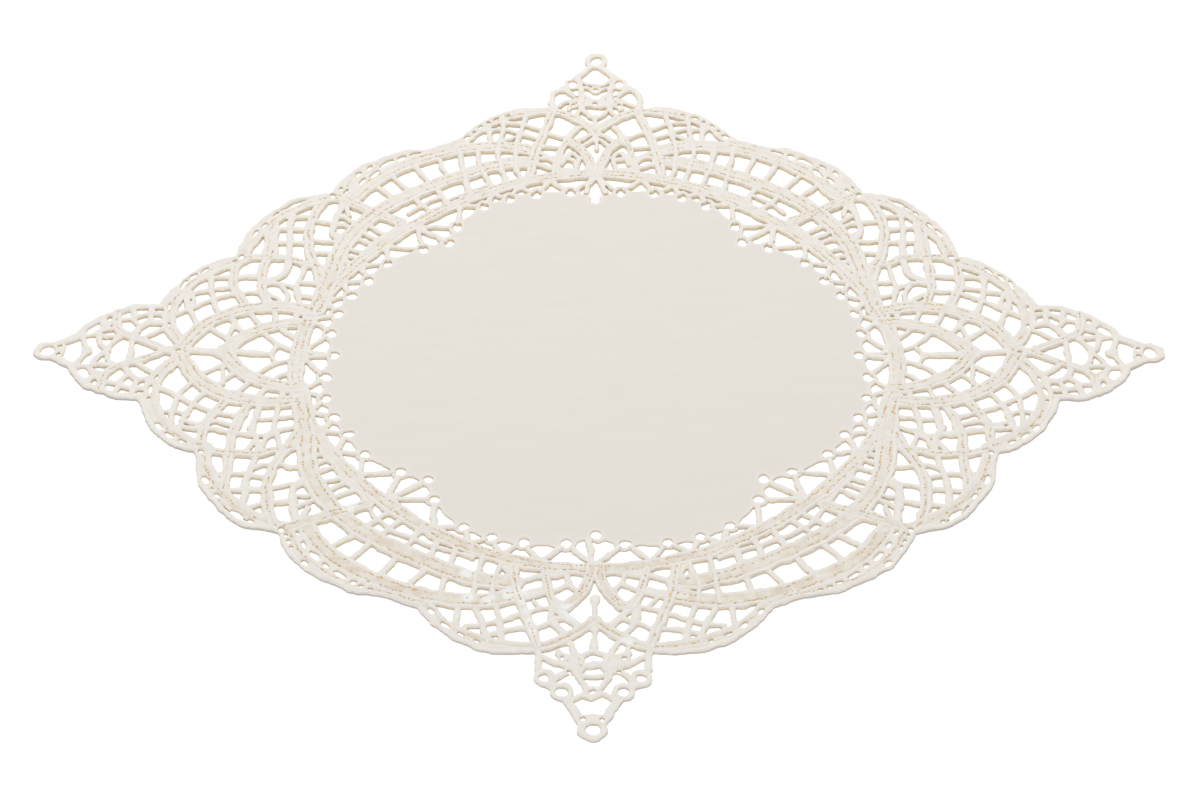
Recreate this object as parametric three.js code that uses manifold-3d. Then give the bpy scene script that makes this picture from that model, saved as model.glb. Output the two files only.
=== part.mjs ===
// Lace table topper: a round of cloth with a wide border of tape lace, lying flat.
// Millimetres, +Z up, the long diagonal along X, resting on z = 0 about the origin.
import * as THREE from 'three';
import { mergeVertices } from 'three/addons/utils/BufferGeometryUtils.js';
import ManifoldModule from 'manifold-3d';

// Sheets
const LACE_THICKNESS = 2.6;
const CLOTH_THICKNESS = 1.8;
const PIECE_GAP = 0.4;
const TAPE_STEP = 10;
const CORD_STEP = 5;
const RAIL_STEPS = 8;

// Gaps: the border keeps its largest ones, and anything smaller is closed by a plug
const LACE_GAP_LIMIT = 193;
const SMALLEST_GAP_AREA = 14;
const PLUG_MARGIN = 0.6;
const OUTLINE_TOLERANCE = 0.12;
const WELD_TOLERANCE = 1e-4;
const FACE_TOLERANCE = 1e-3;

// The tape ring round the cloth, a circle drawn a little towards the four corners
const RING_RADIUS = 171.2;
const RING_WIDTH = 9.5;
const RING_STRETCH = -1.7;
const RING_CORNER_PULL = 3.0;
const RING_STEPS = 18;

// The small worked rings at the four tips
const TIP_OUTER = 7.7;
const TIP_OUTER_SIDES = 20;
const TIP_HOLE = 3.8;
const TIP_HOLE_SIDES = 12;
const SIDE_TIP = 317.3;
const END_TIP = 297;

// Openwork holes along the edge of the cloth: how many degrees from the end axis each one of a
// quarter lies, and how far out
const EDGE_HOLE_RADIUS = 3.2;
const EDGE_HOLE_SIDES = 8;
const EDGE_HOLE_RIM = 2.4;
const EDGE_HOLES = [
  { turn: 0, reach: 151.5 },
  { turn: 5.8, reach: 157 },
  { turn: 13.7, reach: 159.5 },
  { turn: 20, reach: 160.4 },
  { turn: 26.2, reach: 159 },
  { turn: 35.4, reach: 149.6 },
  { turn: 40.5, reach: 139.5 },
  { turn: 46.8, reach: 145.8 },
  { turn: 56, reach: 152.8 },
  { turn: 63.3, reach: 153.8 },
  { turn: 69.4, reach: 156 },
  { turn: 76, reach: 157 },
  { turn: 82.8, reach: 156 },
  { turn: 90, reach: 151.3 },
];
const RAY_WIDTH = 3.6;
const ROSETTE_SPREAD = 0.17;
const ROSETTE_GATHER = 0.3;

// How the cloth swells round a hole, in shares of the rim's radius along and beyond the edge
const SWELL = [
  { along: -0.95, beyond: 0.3 },
  { along: -0.55, beyond: 0.83 },
  { along: 0.55, beyond: 0.83 },
  { along: 0.95, beyond: 0.3 },
];

// Hand blocking leaves the centre a little nearer the front, and the front half a little wider
const CENTRE_FORWARD = 4.5;
const FORWARD_WITHIN = 178;
const FORWARD_BEYOND = 232;
const FRONT_SPREAD = 0.0001;

// Tapes of one quarter, by the points that each is laid through
const TAPES = [
  { name: 'side_inner', width: 9.5,
    through: [[171, 29.5], [183, 28.5], [196, 21.5], [207, 12], [216, -2.5]] },
  { name: 'side_outer', width: 10,
    through: [[169, 41], [186, 42], [203, 40], [219, 32.5], [233.5, 18.5], [244.5, -1]] },
  { name: 'scallop_1', width: 10.5,
    through: [[240, 6], [250.5, 26], [252.6, 44.7], [242.9, 68.1], [216, 85.5]] },
  { name: 'scallop_2', width: 10.5,
    through: [[213, 88], [209.6, 112.9], [197.8, 131.6], [179, 143.4], [165, 148.5]] },
  { name: 'scallop_4', width: 9,
    through: [[86, 208], [74.5, 224], [54, 235.5], [34, 238], [15.5, 232], [-2.5, 216]] },
  { name: 'edge_3', width: 4.5,
    through: [[166.5, 151], [157, 172], [140, 186], [120, 196.5], [98, 203], [84, 206]] },
  { name: 'edge_mid', width: 7,
    through: [[160, 150], [153, 166], [140, 178.5], [122, 190.5], [104, 198.5]] },
  { name: 'link_1', width: 6,
    through: [[216, 88.5], [200, 89], [184, 87], [168, 80], [165, 48]] },
  { name: 'link_2', width: 7,
    through: [[168, 151], [177, 130], [176.5, 109], [170.5, 86], [164, 64]] },
  { name: 'link_3', width: 3.8,
    through: [[164, 148], [162, 130], [162.5, 117], [157, 98]] },
  { name: 'cross', width: 8.5,
    through: [[166, 151.5], [140, 139.5], [112, 123]] },
  { name: 'long_outer', width: 11.5,
    through: [[152, 150], [140, 168.5], [120, 184.5], [100, 195], [80, 201.5],
      [60, 203], [42, 199], [28, 190]] },
  { name: 'long_inner', width: 12,
    through: [[165.5, 40], [161, 70], [156, 100], [145, 124], [129, 144],
      [109, 159.5], [89, 172], [69, 182], [49, 186.5], [28, 181.5], [8, 177]] },
  { name: 'stem', width: 6.5,
    through: [[29, 238], [36, 217], [41.5, 197], [43.5, 176]] },
  { name: 'stem_bar', width: 4,
    through: [[17, 230], [22.5, 212], [24, 195], [26, 180]] },
  { name: 'heart', width: 8.5,
    through: [[1, 176], [3, 193], [9, 204], [21, 217]] },
  { name: 'fork_stub', width: 4.2,
    through: [[209, 0], [190, 0]] },
  { name: 'fork_arm', width: 3.8,
    through: [[190, 0], [181, 9], [171, 13]] },
  { name: 'axis_low', width: 3.6,
    through: [[0, 196], [0, 219]] },
  { name: 'axis_high', width: 4,
    through: [[0, 219], [0, 244]] },
];

// The crown is the upper side of the first scallop: its tape and the link that goes on from it
const CROWN = [[252, 45], [246, 60], [236, 72], [222, 82], [205, 88.5], [188, 87.5], [172, 82.5]];

// Bars between two tapes: the stretch of each tape as a share of its length, the bars that part
// it evenly, and rails that run across them at a share of the way from the first to the second
const NETS = [
  { first: 'long_outer', from: [0.03, 0.87], second: 'long_inner', to: [0.42, 0.855],
    bars: 8, width: 3.6, rails: [] },
  { first: 'long_inner', from: [0.43, 0.857], second: 'ring', to: [0.53, 0.83],
    bars: 7, width: 3.6, rails: [] },
  { first: 'long_inner', from: [0.41, 0.14], second: 'ring', to: [0.5, 0.26],
    bars: 2, width: 3.6, rails: [] },
  { first: 'side_inner', from: [0.96, 0], second: 'side_outer', to: [0.96, 0],
    bars: 4, width: 3.6, rails: [] },
  { first: 'side_outer', from: [0.92, 0.02], second: 'crown', to: [0, 1],
    bars: 4, width: 3.8, rails: [0.5] },
  { first: 'link_1', from: [0.04, 0.58], second: 'scallop_2', to: [0.2, 0.95],
    bars: 2, width: 3.8, rails: [] },
  { first: 'link_2', from: [0.15, 0.68], second: 'scallop_2', to: [0.68, 0],
    bars: 2, width: 3.8, rails: [] },
  { first: 'link_2', from: [0.1, 0.75], second: 'link_3', to: [0.2, 1],
    bars: 3, width: 3.6, rails: [] },
  { first: 'long_outer', from: [0.58, 0.88], second: 'scallop_4', to: [0.08, 0.57],
    bars: 3, width: 3.6, rails: [0.5] },
  { first: 'stem', from: [0.1, 0.8], second: 'stem_bar', to: [0, 0.75],
    bars: 2, width: 3.6, rails: [] },
  { first: 'stem_bar', from: [0.2, 0.9], second: 'heart', to: [1, 0.3],
    bars: 1, width: 3.6, rails: [] },
  { first: 'long_outer', from: [0, 0.36], second: 'edge_3', to: [0, 0.5],
    bars: 4, width: 3.4, rails: [] },
];

// Cords of the pointed caps, one half of each
const SIDE_CAP = [
  { name: 'edge', width: 5, through: [[313, 6], [300, 14.5]] },
  { name: 'rim', width: 5, through: [[300.5, 14], [297, 23], [289, 31], [280, 36], [270, 39.5], [256, 39.5]] },
  { name: 'arch', width: 5.5, through: [[247, -1], [258, 5.5], [268, 11], [277, 17], [282, 26], [281.5, 36]] },
  { name: 'knot_bar', width: 3.8, through: [[300, 14], [295.5, 6], [295, -1]] },
  { name: 'shoulder', width: 3.8, through: [[300, 14], [290, 10.5], [277, 16]] },
  { name: 'post', width: 3.8, through: [[283.5, 12], [283.5, -1]] },
  { name: 'oval_bar', width: 3.4, through: [[269.5, 12], [269.5, -1]] },
  { name: 'web', width: 4.5, through: [[252, 24], [261, 27], [267, 22], [271, 13]] },
  { name: 'web_rise', width: 4, through: [[262, 26], [266, 33], [264, 41]] },
  { name: 'lobe_bar', width: 3.8, through: [[290, 10.5], [288.5, 20], [290, 30]] },
];
const END_CAP = [
  { name: 'edge', width: 5, through: [[4.2, 293], [14, 277]] },
  { name: 'lobe_a', width: 4.5, through: [[13, 278], [19, 274.5], [22.3, 269], [22.5, 264]] },
  { name: 'lobe_b', width: 4.5, through: [[22, 266.5], [27.3, 262.5], [28.8, 256], [27.5, 249], [28.5, 240]] },
  { name: 'cross', width: 3.8, through: [[13.5, 277.5], [5.5, 271.5], [-1, 269.8]] },
  { name: 'inner', width: 4, through: [[13, 277], [12, 267], [15, 261.5], [22.5, 265]] },
  { name: 'vee', width: 3.8, through: [[4.8, 271.5], [8, 263], [12, 256]] },
  { name: 'collar', width: 3.4, through: [[9, 259.5], [-1, 260.5]] },
  { name: 'lower', width: 4.2, through: [[14.5, 262], [21, 258.5], [28, 251]] },
  { name: 'wing', width: 8, through: [[-1, 259.5], [8, 254], [13, 246], [13.5, 236]] },
  { name: 'bridge', width: 3.8, through: [[12, 251.5], [20, 249], [28, 244.5]] },
  { name: 'moon', width: 3.8, through: [[9, 250], [6, 244.5], [-1, 242]] },
];

// Colours
const LACE_COLOUR = 0xefe8da;
const CLOTH_COLOUR = 0xe6e1d6;
const FABRIC_ROUGHNESS = 0.9;

const QUARTERS = [[1, 1], [-1, 1], [1, -1], [-1, -1]];
const QUARTER_TURN = Math.PI / 2;
const wasm = await ManifoldModule();
wasm.setup();

const mix = (a, b, share) => a + (b - a) * share;
const vector = ([x, y]) => new THREE.Vector2(x, y);
const polar = (radius, angle) => new THREE.Vector2(radius * Math.cos(angle), radius * Math.sin(angle));

function ringPoint(angle) {
  const stretch = RING_STRETCH * Math.cos(2 * angle);
  const pull = RING_CORNER_PULL * Math.cos(4 * angle);
  return polar(RING_RADIUS + stretch + pull, angle);
}

// Moves a laid-out point to where the blocked lace really lies
function blocked(point) {
  const share = (FORWARD_BEYOND - point.length()) / (FORWARD_BEYOND - FORWARD_WITHIN);
  const forward = CENTRE_FORWARD * THREE.MathUtils.clamp(share, 0, 1);
  return new THREE.Vector2(point.x * (1 - FRONT_SPREAD * point.y), point.y - forward);
}

function toSolid(geometry) {
  geometry.deleteAttribute('normal');
  geometry.deleteAttribute('uv');
  const merged = mergeVertices(geometry, WELD_TOLERANCE);
  const vertProperties = new Float32Array(merged.attributes.position.array);
  const triVerts = new Uint32Array(merged.index.array);
  return new wasm.Manifold(new wasm.Mesh({ numProp: 3, vertProperties, triVerts }));
}

function extruded(outline, thickness) {
  const shape = new THREE.Shape(outline);
  return toSolid(new THREE.ExtrudeGeometry(shape, { depth: thickness, bevelEnabled: false }));
}

const sheet = (outline, thickness) => extruded(outline.map(blocked), thickness);

// A cut goes through the sheet and as far again beyond each of its faces
const cutThrough = (outline, thickness) => sheet(outline, 3 * thickness).translate([0, 0, -thickness]);

// A ribbon of even width along a row of points
function ribbon(points, width) {
  const left = [];
  const right = [];
  points.forEach((point, i) => {
    const before = points[Math.max(i - 1, 0)];
    const after = points[Math.min(i + 1, points.length - 1)];
    const along = after.clone().sub(before).normalize();
    const across = new THREE.Vector2(-along.y, along.x).multiplyScalar(width / 2);
    left.push(point.clone().add(across));
    right.unshift(point.clone().sub(across));
  });
  return [...left, ...right];
}

function circle(centre, radius, sides) {
  const turn = (2 * Math.PI) / sides;
  return Array.from({ length: sides }, (_, i) => polar(radius, turn * (i + 0.5)).add(centre));
}

const laid = (through) => new THREE.SplineCurve(through.map(vector));
const spaced = (curve, step) => curve.getSpacedPoints(Math.max(1, Math.round(curve.getLength() / step)));
const tipCircles = (radius, sides) => [
  circle(new THREE.Vector2(SIDE_TIP, 0), radius, sides),
  circle(new THREE.Vector2(0, END_TIP), radius, sides),
];

// Every ribbon and disc of one quarter, as outlines
function quarterOutlines() {
  const outlines = tipCircles(TIP_OUTER, TIP_OUTER_SIDES);
  const onRing = (_, i) => ringPoint((i * QUARTER_TURN) / RING_STEPS);
  const ring = new THREE.SplineCurve(Array.from({ length: RING_STEPS + 1 }, onRing));
  const curves = { crown: laid(CROWN), ring };
  outlines.push(ribbon(spaced(ring, TAPE_STEP), RING_WIDTH));
  for (const tape of TAPES) {
    curves[tape.name] = laid(tape.through);
    outlines.push(ribbon(spaced(curves[tape.name], TAPE_STEP), tape.width));
  }
  for (const net of NETS) {
    const across = (share) => {
      const start = curves[net.first].getPointAt(mix(net.from[0], net.from[1], share));
      const end = curves[net.second].getPointAt(mix(net.to[0], net.to[1], share));
      return [start, end];
    };
    for (let bar = 1; bar <= net.bars; bar += 1) {
      outlines.push(ribbon(across(bar / (net.bars + 1)), net.width));
    }
    for (const rail of net.rails) {
      const points = Array.from({ length: RAIL_STEPS + 1 }, (_, i) => {
        const [start, end] = across(i / RAIL_STEPS);
        return start.lerp(end, rail);
      });
      outlines.push(ribbon(points, net.width));
    }
  }
  for (const cord of [...SIDE_CAP, ...END_CAP]) {
    outlines.push(ribbon(spaced(laid(cord.through), CORD_STEP), cord.width));
  }
  return outlines;
}

// Every openwork hole round the cloth, starting on the end axis; each quarter mirrors the one before it
function edgeHoles() {
  const quarter = EDGE_HOLES.length - 1;
  return Array.from({ length: 4 * quarter }, (_, place) => {
    const half = Math.floor(place / (2 * quarter));
    const folded = place % (2 * quarter);
    const { turn, reach } = EDGE_HOLES[Math.min(folded, 2 * quarter - folded)];
    const onward = folded < quarter ? turn : 180 - turn;
    const angle = QUARTER_TURN - THREE.MathUtils.degToRad(180 * half + onward);
    return { angle, reach, centre: polar(reach, angle) };
  });
}

// The rays that tie the ring to the cloth, one at each hole; those by a diagonal start together
function allRays() {
  return edgeHoles().map((hole) => {
    const diagonal = QUARTER_TURN * (Math.floor(hole.angle / QUARTER_TURN) + 0.5);
    const together = Math.abs(hole.angle - diagonal) < ROSETTE_SPREAD ? ROSETTE_GATHER : 1;
    return ribbon([ringPoint(mix(diagonal, hole.angle, together)), hole.centre], RAY_WIDTH);
  });
}

// Outline of the cloth: it swells round each hole and dips between them
function clothOutline(grow) {
  const outline = [];
  const around = edgeHoles();
  const rim = EDGE_HOLE_RADIUS + EDGE_HOLE_RIM + grow;
  around.forEach((hole, place) => {
    const next = around[(place + 1) % around.length];
    const outward = hole.centre.clone().normalize();
    const onward = new THREE.Vector2(outward.y, -outward.x);
    for (const { along, beyond } of SWELL) {
      const offset = onward.clone().multiplyScalar(along * rim).addScaledVector(outward, beyond * rim);
      outline.push(hole.centre.clone().add(offset));
    }
    const dip = hole.centre.clone().lerp(next.centre, 0.5);
    outline.push(dip.setLength((hole.reach + next.reach) / 2 + grow));
  });
  return outline;
}

const mirrored = (outlines) => QUARTERS.flatMap(([fx, fy]) => outlines.map((outline) => (
  outline.map((point) => new THREE.Vector2(point.x * fx, point.y * fy)))));

// The rings of edges round the openings of a flat sheet's upper face
function upperLoops(solid, thickness) {
  const { numProp, vertProperties, triVerts } = solid.getMesh();
  const onTop = (v) => vertProperties[v * numProp + 2] > thickness - FACE_TOLERANCE;
  const edges = new Map();
  for (let t = 0; t < triVerts.length; t += 3) {
    const corners = [triVerts[t], triVerts[t + 1], triVerts[t + 2]];
    if (!corners.every(onTop)) continue;
    corners.forEach((start, k) => {
      const end = corners[(k + 1) % 3];
      if (edges.has(`${end},${start}`)) edges.delete(`${end},${start}`);
      else edges.set(`${start},${end}`, [start, end]);
    });
  }
  const follow = new Map([...edges.values()]);
  const loops = [];
  while (follow.size > 0) {
    const loop = [];
    let v = follow.keys().next().value;
    while (follow.has(v)) {
      loop.push(new THREE.Vector2(vertProperties[v * numProp], vertProperties[v * numProp + 1]));
      const onward = follow.get(v);
      follow.delete(v);
      v = onward;
    }
    loops.push(loop);
  }
  return loops;
}

// An outline moved outwards all round
function grown(outline, by) {
  const turn = Math.sign(THREE.ShapeUtils.area(outline));
  return outline.map((point, i) => {
    const after = outline[(i + 1) % outline.length];
    const along = after.clone().sub(outline.at(i - 1)).normalize();
    return new THREE.Vector2(along.y, -along.x).multiplyScalar(by * turn).add(point);
  });
}

// Closes the gaps that are too small, and the smallest of the rest above the limit
function closeSmallGaps(solid, thickness) {
  const gaps = upperLoops(solid, thickness)
    .map((loop) => ({ loop, area: -THREE.ShapeUtils.area(loop) }))
    .filter((gap) => gap.area > 0)
    .sort((a, b) => b.area - a.area);
  const closed = gaps.filter((gap, i) => i >= LACE_GAP_LIMIT || gap.area < SMALLEST_GAP_AREA);
  const plugs = closed.map(({ loop }) => extruded(grown(loop, PLUG_MARGIN), thickness));
  return wasm.Manifold.union([solid, ...plugs]);
}

function toMesh(solid, name, colour) {
  const { vertProperties, triVerts } = solid.asOriginal().simplify(OUTLINE_TOLERANCE).getMesh();
  const geometry = new THREE.BufferGeometry();
  geometry.setAttribute('position', new THREE.BufferAttribute(new Float32Array(vertProperties), 3));
  geometry.setIndex(new THREE.BufferAttribute(new Uint32Array(triVerts), 1));
  const flat = geometry.toNonIndexed();
  flat.computeVertexNormals();
  const material = new THREE.MeshStandardMaterial({ color: colour, roughness: FABRIC_ROUGHNESS });
  const body = new THREE.Mesh(flat, material);
  body.name = name;
  return body;
}

// Border: join every ribbon and close the small gaps, twice because plugs leave slivers in sharp
// corners, then make room for the cloth and open the tips
const ribbons = [...mirrored(quarterOutlines()), ...allRays()].map((line) => sheet(line, LACE_THICKNESS));
const plugged = closeSmallGaps(wasm.Manifold.union(ribbons), LACE_THICKNESS);
const joined = closeSmallGaps(plugged, LACE_THICKNESS);
const borderCuts = [clothOutline(PIECE_GAP), ...mirrored(tipCircles(TIP_HOLE, TIP_HOLE_SIDES))];
const border = borderCuts.reduce((solid, line) => solid.subtract(cutThrough(line, LACE_THICKNESS)), joined);

// Cloth: one round with its holes cut through
const holes = edgeHoles().map((hole) => circle(hole.centre, EDGE_HOLE_RADIUS, EDGE_HOLE_SIDES));
const whole = sheet(clothOutline(0), CLOTH_THICKNESS);
const cloth = holes.reduce((solid, line) => solid.subtract(cutThrough(line, CLOTH_THICKNESS)), whole);

const topper = new THREE.Group();
topper.name = 'lace_table_topper';
topper.add(toMesh(border, 'lace_border', LACE_COLOUR));
topper.add(toMesh(cloth, 'centre_cloth', CLOTH_COLOUR));
export default topper;
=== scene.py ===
# %% [markdown]
# A lace table topper: a round of plain linen inside a wide border of tape lace, with scalloped
# sides and a worked ring at each of its four tips. It lies flat, so its whole shape is a plan
# with a low relief. The plan is a set of strokes (tapes, cords and bars) for one quarter of the
# border, laid out four times. This script turns the strokes into a height field and the height
# field into meshes, because strokes that melt into each other look like worked thread, while
# separate tubes pushed together look like plumbing.

# %% Load the frame
import math

import bpy
import numpy as np
from mathutils import Matrix, Vector
from mathutils.geometry import delaunay_2d_cdt


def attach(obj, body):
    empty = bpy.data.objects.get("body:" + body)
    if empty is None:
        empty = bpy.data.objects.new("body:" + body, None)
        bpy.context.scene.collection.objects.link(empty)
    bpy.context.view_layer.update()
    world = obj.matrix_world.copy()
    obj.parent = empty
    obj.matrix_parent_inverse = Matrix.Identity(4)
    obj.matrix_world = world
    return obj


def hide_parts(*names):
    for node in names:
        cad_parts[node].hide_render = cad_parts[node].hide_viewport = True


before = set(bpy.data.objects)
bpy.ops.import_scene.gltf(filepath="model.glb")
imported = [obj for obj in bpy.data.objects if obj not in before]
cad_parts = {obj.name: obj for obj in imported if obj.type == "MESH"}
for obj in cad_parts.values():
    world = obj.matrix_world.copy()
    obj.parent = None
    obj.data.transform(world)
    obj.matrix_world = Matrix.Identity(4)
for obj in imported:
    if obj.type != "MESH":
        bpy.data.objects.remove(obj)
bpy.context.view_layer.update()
MM = 0.001
scene = bpy.context.scene


def placed(name, data):
    """A new object in the scene."""
    thing = bpy.data.objects.new(name, data)
    scene.collection.objects.link(thing)
    return thing


# %% [markdown]
# The camera looks down at the topper from the front with a long lens. Its place was fitted to the
# tips and notches of the border in the photograph, so it is set as an aim point, a distance, a
# turn, a tilt and a small roll rather than moved by hand.

# %% Camera
LENS, SENSOR = 83.72, 36.0
NEAREST, FARTHEST = 0.05, 30.0
AZIMUTH, ELEVATION, ROLL = (math.radians(a) for a in (0.27645, 40.7242, -0.17754))
AIM, DISTANCE = Vector((2.347, -40.803, 0.0)) * MM, 1582.68 * MM
tilted = Matrix.Rotation(AZIMUTH, 4, "Z") @ Matrix.Rotation(math.pi / 2 - ELEVATION, 4, "X")
facing = tilted @ Matrix.Rotation(ROLL, 4, "Z")
camera_data = bpy.data.cameras.new("camera")
camera_data.lens = LENS
camera_data.sensor_width = SENSOR
camera_data.sensor_fit = "HORIZONTAL"
camera_data.clip_start = NEAREST
camera_data.clip_end = FARTHEST
camera = placed("camera", camera_data)
camera.matrix_world = Matrix.Translation(AIM) @ facing @ Matrix.Translation((0, 0, DISTANCE))
scene.camera = camera
print("camera at", [round(v, 3) for v in camera.matrix_world.translation])

# %% [markdown]
# Lace of this kind is made by tacking woven tape along a drawn pattern and filling the spaces with
# thread bars. The layout keeps to that order: first the tapes, each a smooth path through a few
# points, then the cords and bars. All sizes are in millimetres in one quarter, with X towards the
# side tip and Y towards the end tip.

# %% Paths
STEP, FINE_STEPS = 1.6, 24


def laid(through):
    """A smooth path through a few points, with a new point every step."""
    points = np.asarray(through, float)
    ends = np.vstack([points[:1], points, points[-1:]])
    share = np.linspace(0, 1, FINE_STEPS, endpoint=False)[:, None]
    pieces = []
    for a, b, c, d in zip(ends, ends[1:], ends[2:], ends[3:]):
        leave, arrive = (c - a) / 2, (d - b) / 2
        bend = (2 * b - 2 * c + leave + arrive) * share - 3 * b + 3 * c - 2 * leave - arrive
        pieces.append(bend * share ** 2 + leave * share + b)
    fine = np.vstack([*pieces, points[-1:]])
    run = np.concatenate([[0], np.cumsum(np.hypot(*np.diff(fine, axis=0).T))])
    even = np.linspace(0, run[-1], max(2, int(round(run[-1] / STEP)) + 1))
    return np.stack([np.interp(even, run, fine[:, 0]), np.interp(even, run, fine[:, 1])], -1)


RING_RADIUS, RING_STRETCH, RING_CORNER_PULL = 171.2, -1.7, 3.0


def ring_point(turn, inwards=0.0):
    """A point on the middle of the ring tape, by its turn in degrees from the end axis."""
    angle = np.radians(90 - np.asarray(turn, float))
    radius = RING_RADIUS + RING_STRETCH * np.cos(2 * angle) + RING_CORNER_PULL * np.cos(4 * angle) - inwards
    return np.stack([radius * np.cos(angle), radius * np.sin(angle)], -1)


# %% Tapes
# name, width, layer, rows of pinholes with painted shade (3 is a patch of cloth stitch), points
TAPES = (
    ("ring", 9.2, 0, 2, ring_point(np.linspace(-2, 92, 48))),
    ("side_inner", 9.5, 1, 2, ((168, 28.8), (177, 29), (189, 25.5), (198, 20.8), (207.5, 12), (216, -1.5))),
    ("side_outer", 10, 1, 2, ((169, 40), (179, 42.6), (193, 42.5), (207, 39.6), (220, 32), (230.5, 21.8),
     (241.5, -1))),
    ("scallop_1", 8.6, 0, 1, ((239, 5), (248.4, 18.5), (252, 31), (250.8, 44.4), (245.3, 58.6),
     (236.2, 70.6), (225.5, 79), (215, 85))),
    ("scallop_2", 8.6, 0, 1, ((216, 87), (213.2, 99.4), (207.2, 113), (198.4, 126.2), (187.2, 137.3),
     (175, 144.6), (166, 148.5))),
    ("scallop_4", 6.8, 0, 1, ((86, 208), (74.6, 222.4), (57.4, 233), (42, 237.6), (27, 238.5), (16, 233),
     (7, 225), (-0.5, 217))),
    ("strip", 6, 0, 1, ((161.5, 153), (155, 167.5), (146.5, 178), (138, 185.5), (128, 191), (115, 196),
     (102, 199.8), (89, 205.5))),
    ("link_1", 5.5, 1, 1, ((216, 85.5), (207, 87.8), (197, 88.2), (187, 88.2), (178, 84.6), (168, 82.2))),
    ("link_2", 6.2, 1, 1, ((170, 148), (174.8, 135), (177, 124), (177.8, 113), (176.2, 101), (173, 90),
     (169.5, 82), (166, 70))),
    ("cross", 8.0, 1, 2, ((165, 150), (146, 139), (133.5, 132.4), (122.5, 127))),
    ("long_outer", 11, 0, 2, ((152, 150), (140, 168.5), (120, 184.5), (100, 195), (80, 201), (64, 202.8),
     (52, 201.5), (42, 198.5))),
    ("long_inner", 11.5, 1, 2, ((165.5, 40), (161, 70), (156, 100), (145, 124), (129, 144), (109, 159.5),
     (89, 172), (69, 182), (52, 186.8), (42, 187))),
    ("stem", 5.4, 2, 1, ((28, 238), (31, 228), (34.5, 215.5), (38.3, 201), (40.5, 190), (42.3, 174))),
    ("heart", 6.6, 2, 2, ((1.7, 174), (3.2, 184), (6, 193), (10, 200.5), (14.5, 206.5))),
    ("curl", 4.6, 1, 1, ((26.4, 176), (24.4, 189), (22, 200), (19, 207.6))),
    ("patch", 10.6, 1, 3, ((9.8, 248.4), (9.4, 252.8))),
    ("middle", 5.5, 0, 1, ((201, 119), (201, 104), (201, 89), (201.6, 72), (199.5, 58), (194, 42))),
    ("upright", 5.5, 0, 1, ((218, 83), (218, 75), (217.6, 63), (213.2, 52), (208, 42))),
    ("arch", 5.2, 1, 1, ((247, -1), (255, 4), (263, 8.5), (271, 12.5), (278, 17), (281.5, 25),
     (282.3, 35))),
)
tape_paths = {name: laid(points) for name, _, _, _, points in TAPES}
print(len(TAPES), "tapes a quarter,", round(sum(len(p) for p in tape_paths.values()) * STEP), "mm long")

# %% [markdown]
# The bars, cords and worked rings between the tapes are thread, thinner and rounder than the tape.
# Each row in the next cells is one bar: its width and the points that it runs through. The maker filled
# the front and the back of the border differently, so each group of rows says whether its bars are in
# both halves or only in one. The work goes from the outer edge inwards and then out again to the tips.

# %% Quarters and bars
QUARTERS = ((1, 1), (-1, 1), (-1, -1), (1, -1))
SIDES = {"both": QUARTERS, "back": QUARTERS[:2], "front": QUARTERS[2:], "front left": QUARTERS[2:3]}
bar_paths = []


def work(side, *bars, lifted=0):
    """Lays bars, each a width and points. A lifted bar runs on over the tapes that it crosses."""
    for width, *points in bars:
        bar_paths.append((SIDES[side], lifted, width, laid(points)))
    print(len(bars), "bars,", side)


# %% Outer cords of the scallops and of the strip beside the long tape
work("both",
     (3.2, (258, 41), (255.6, 47), (251.4, 57.8), (244.8, 69.2), (235.5, 78.8), (226.8, 84.6),
      (216.5, 87.6)),
     (3.2, (217.2, 90), (216, 102.8), (212.4, 115.4), (205.8, 126.4), (195.4, 139.6), (186.8, 146.2),
      (168, 151)),
     (3.2, (88.5, 209.5), (82.6, 218), (76.8, 224.8), (69, 232.2), (59.4, 237.9), (49.8, 240.9),
      (40, 241.7), (28, 241)),
     (3.4, (167, 151), (163.2, 160), (158, 170.3), (150.3, 180), (139.8, 187.3), (130, 193), (121.5, 197.4),
      (110.5, 198.4), (100, 202.8), (89, 207.5)),
     (5, (159, 152.5), (151.5, 164), (143.8, 173), (134.5, 181.8), (124.5, 188.2), (112, 193.6)),
     (3, (86, 210.5), (75.6, 223.6), (58.4, 235.5), (44, 239.6)))

# %% Links between the second scallop and the long tape
work("both",
     (3.2, (168, 82), (164, 66), (163, 48)),
     (4, (158, 148), (161, 134), (163, 123), (162.7, 113.5), (157, 105)))
work("front",
     (3.2, (174, 96.5), (167, 98), (160, 96.5)),
     (3.2, (177, 116), (161, 110.8)),
     (3.2, (177, 130.4), (161, 125.6)))
work("back",
     (3.2, (173, 94.2), (160, 94.8)),
     (3.2, (176, 106.2), (159, 105)),
     (3.2, (176, 125.2), (161, 122.8)))
work("both",
     (3, (163, 121.5), (157, 121.8), (150, 118.5)),
     (3.2, (162, 131.8), (156.7, 128.6), (148, 121.5)),
     (2.6, (162, 114), (157, 110.5)),
     (2.8, (157, 141), (154, 131)))

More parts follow.
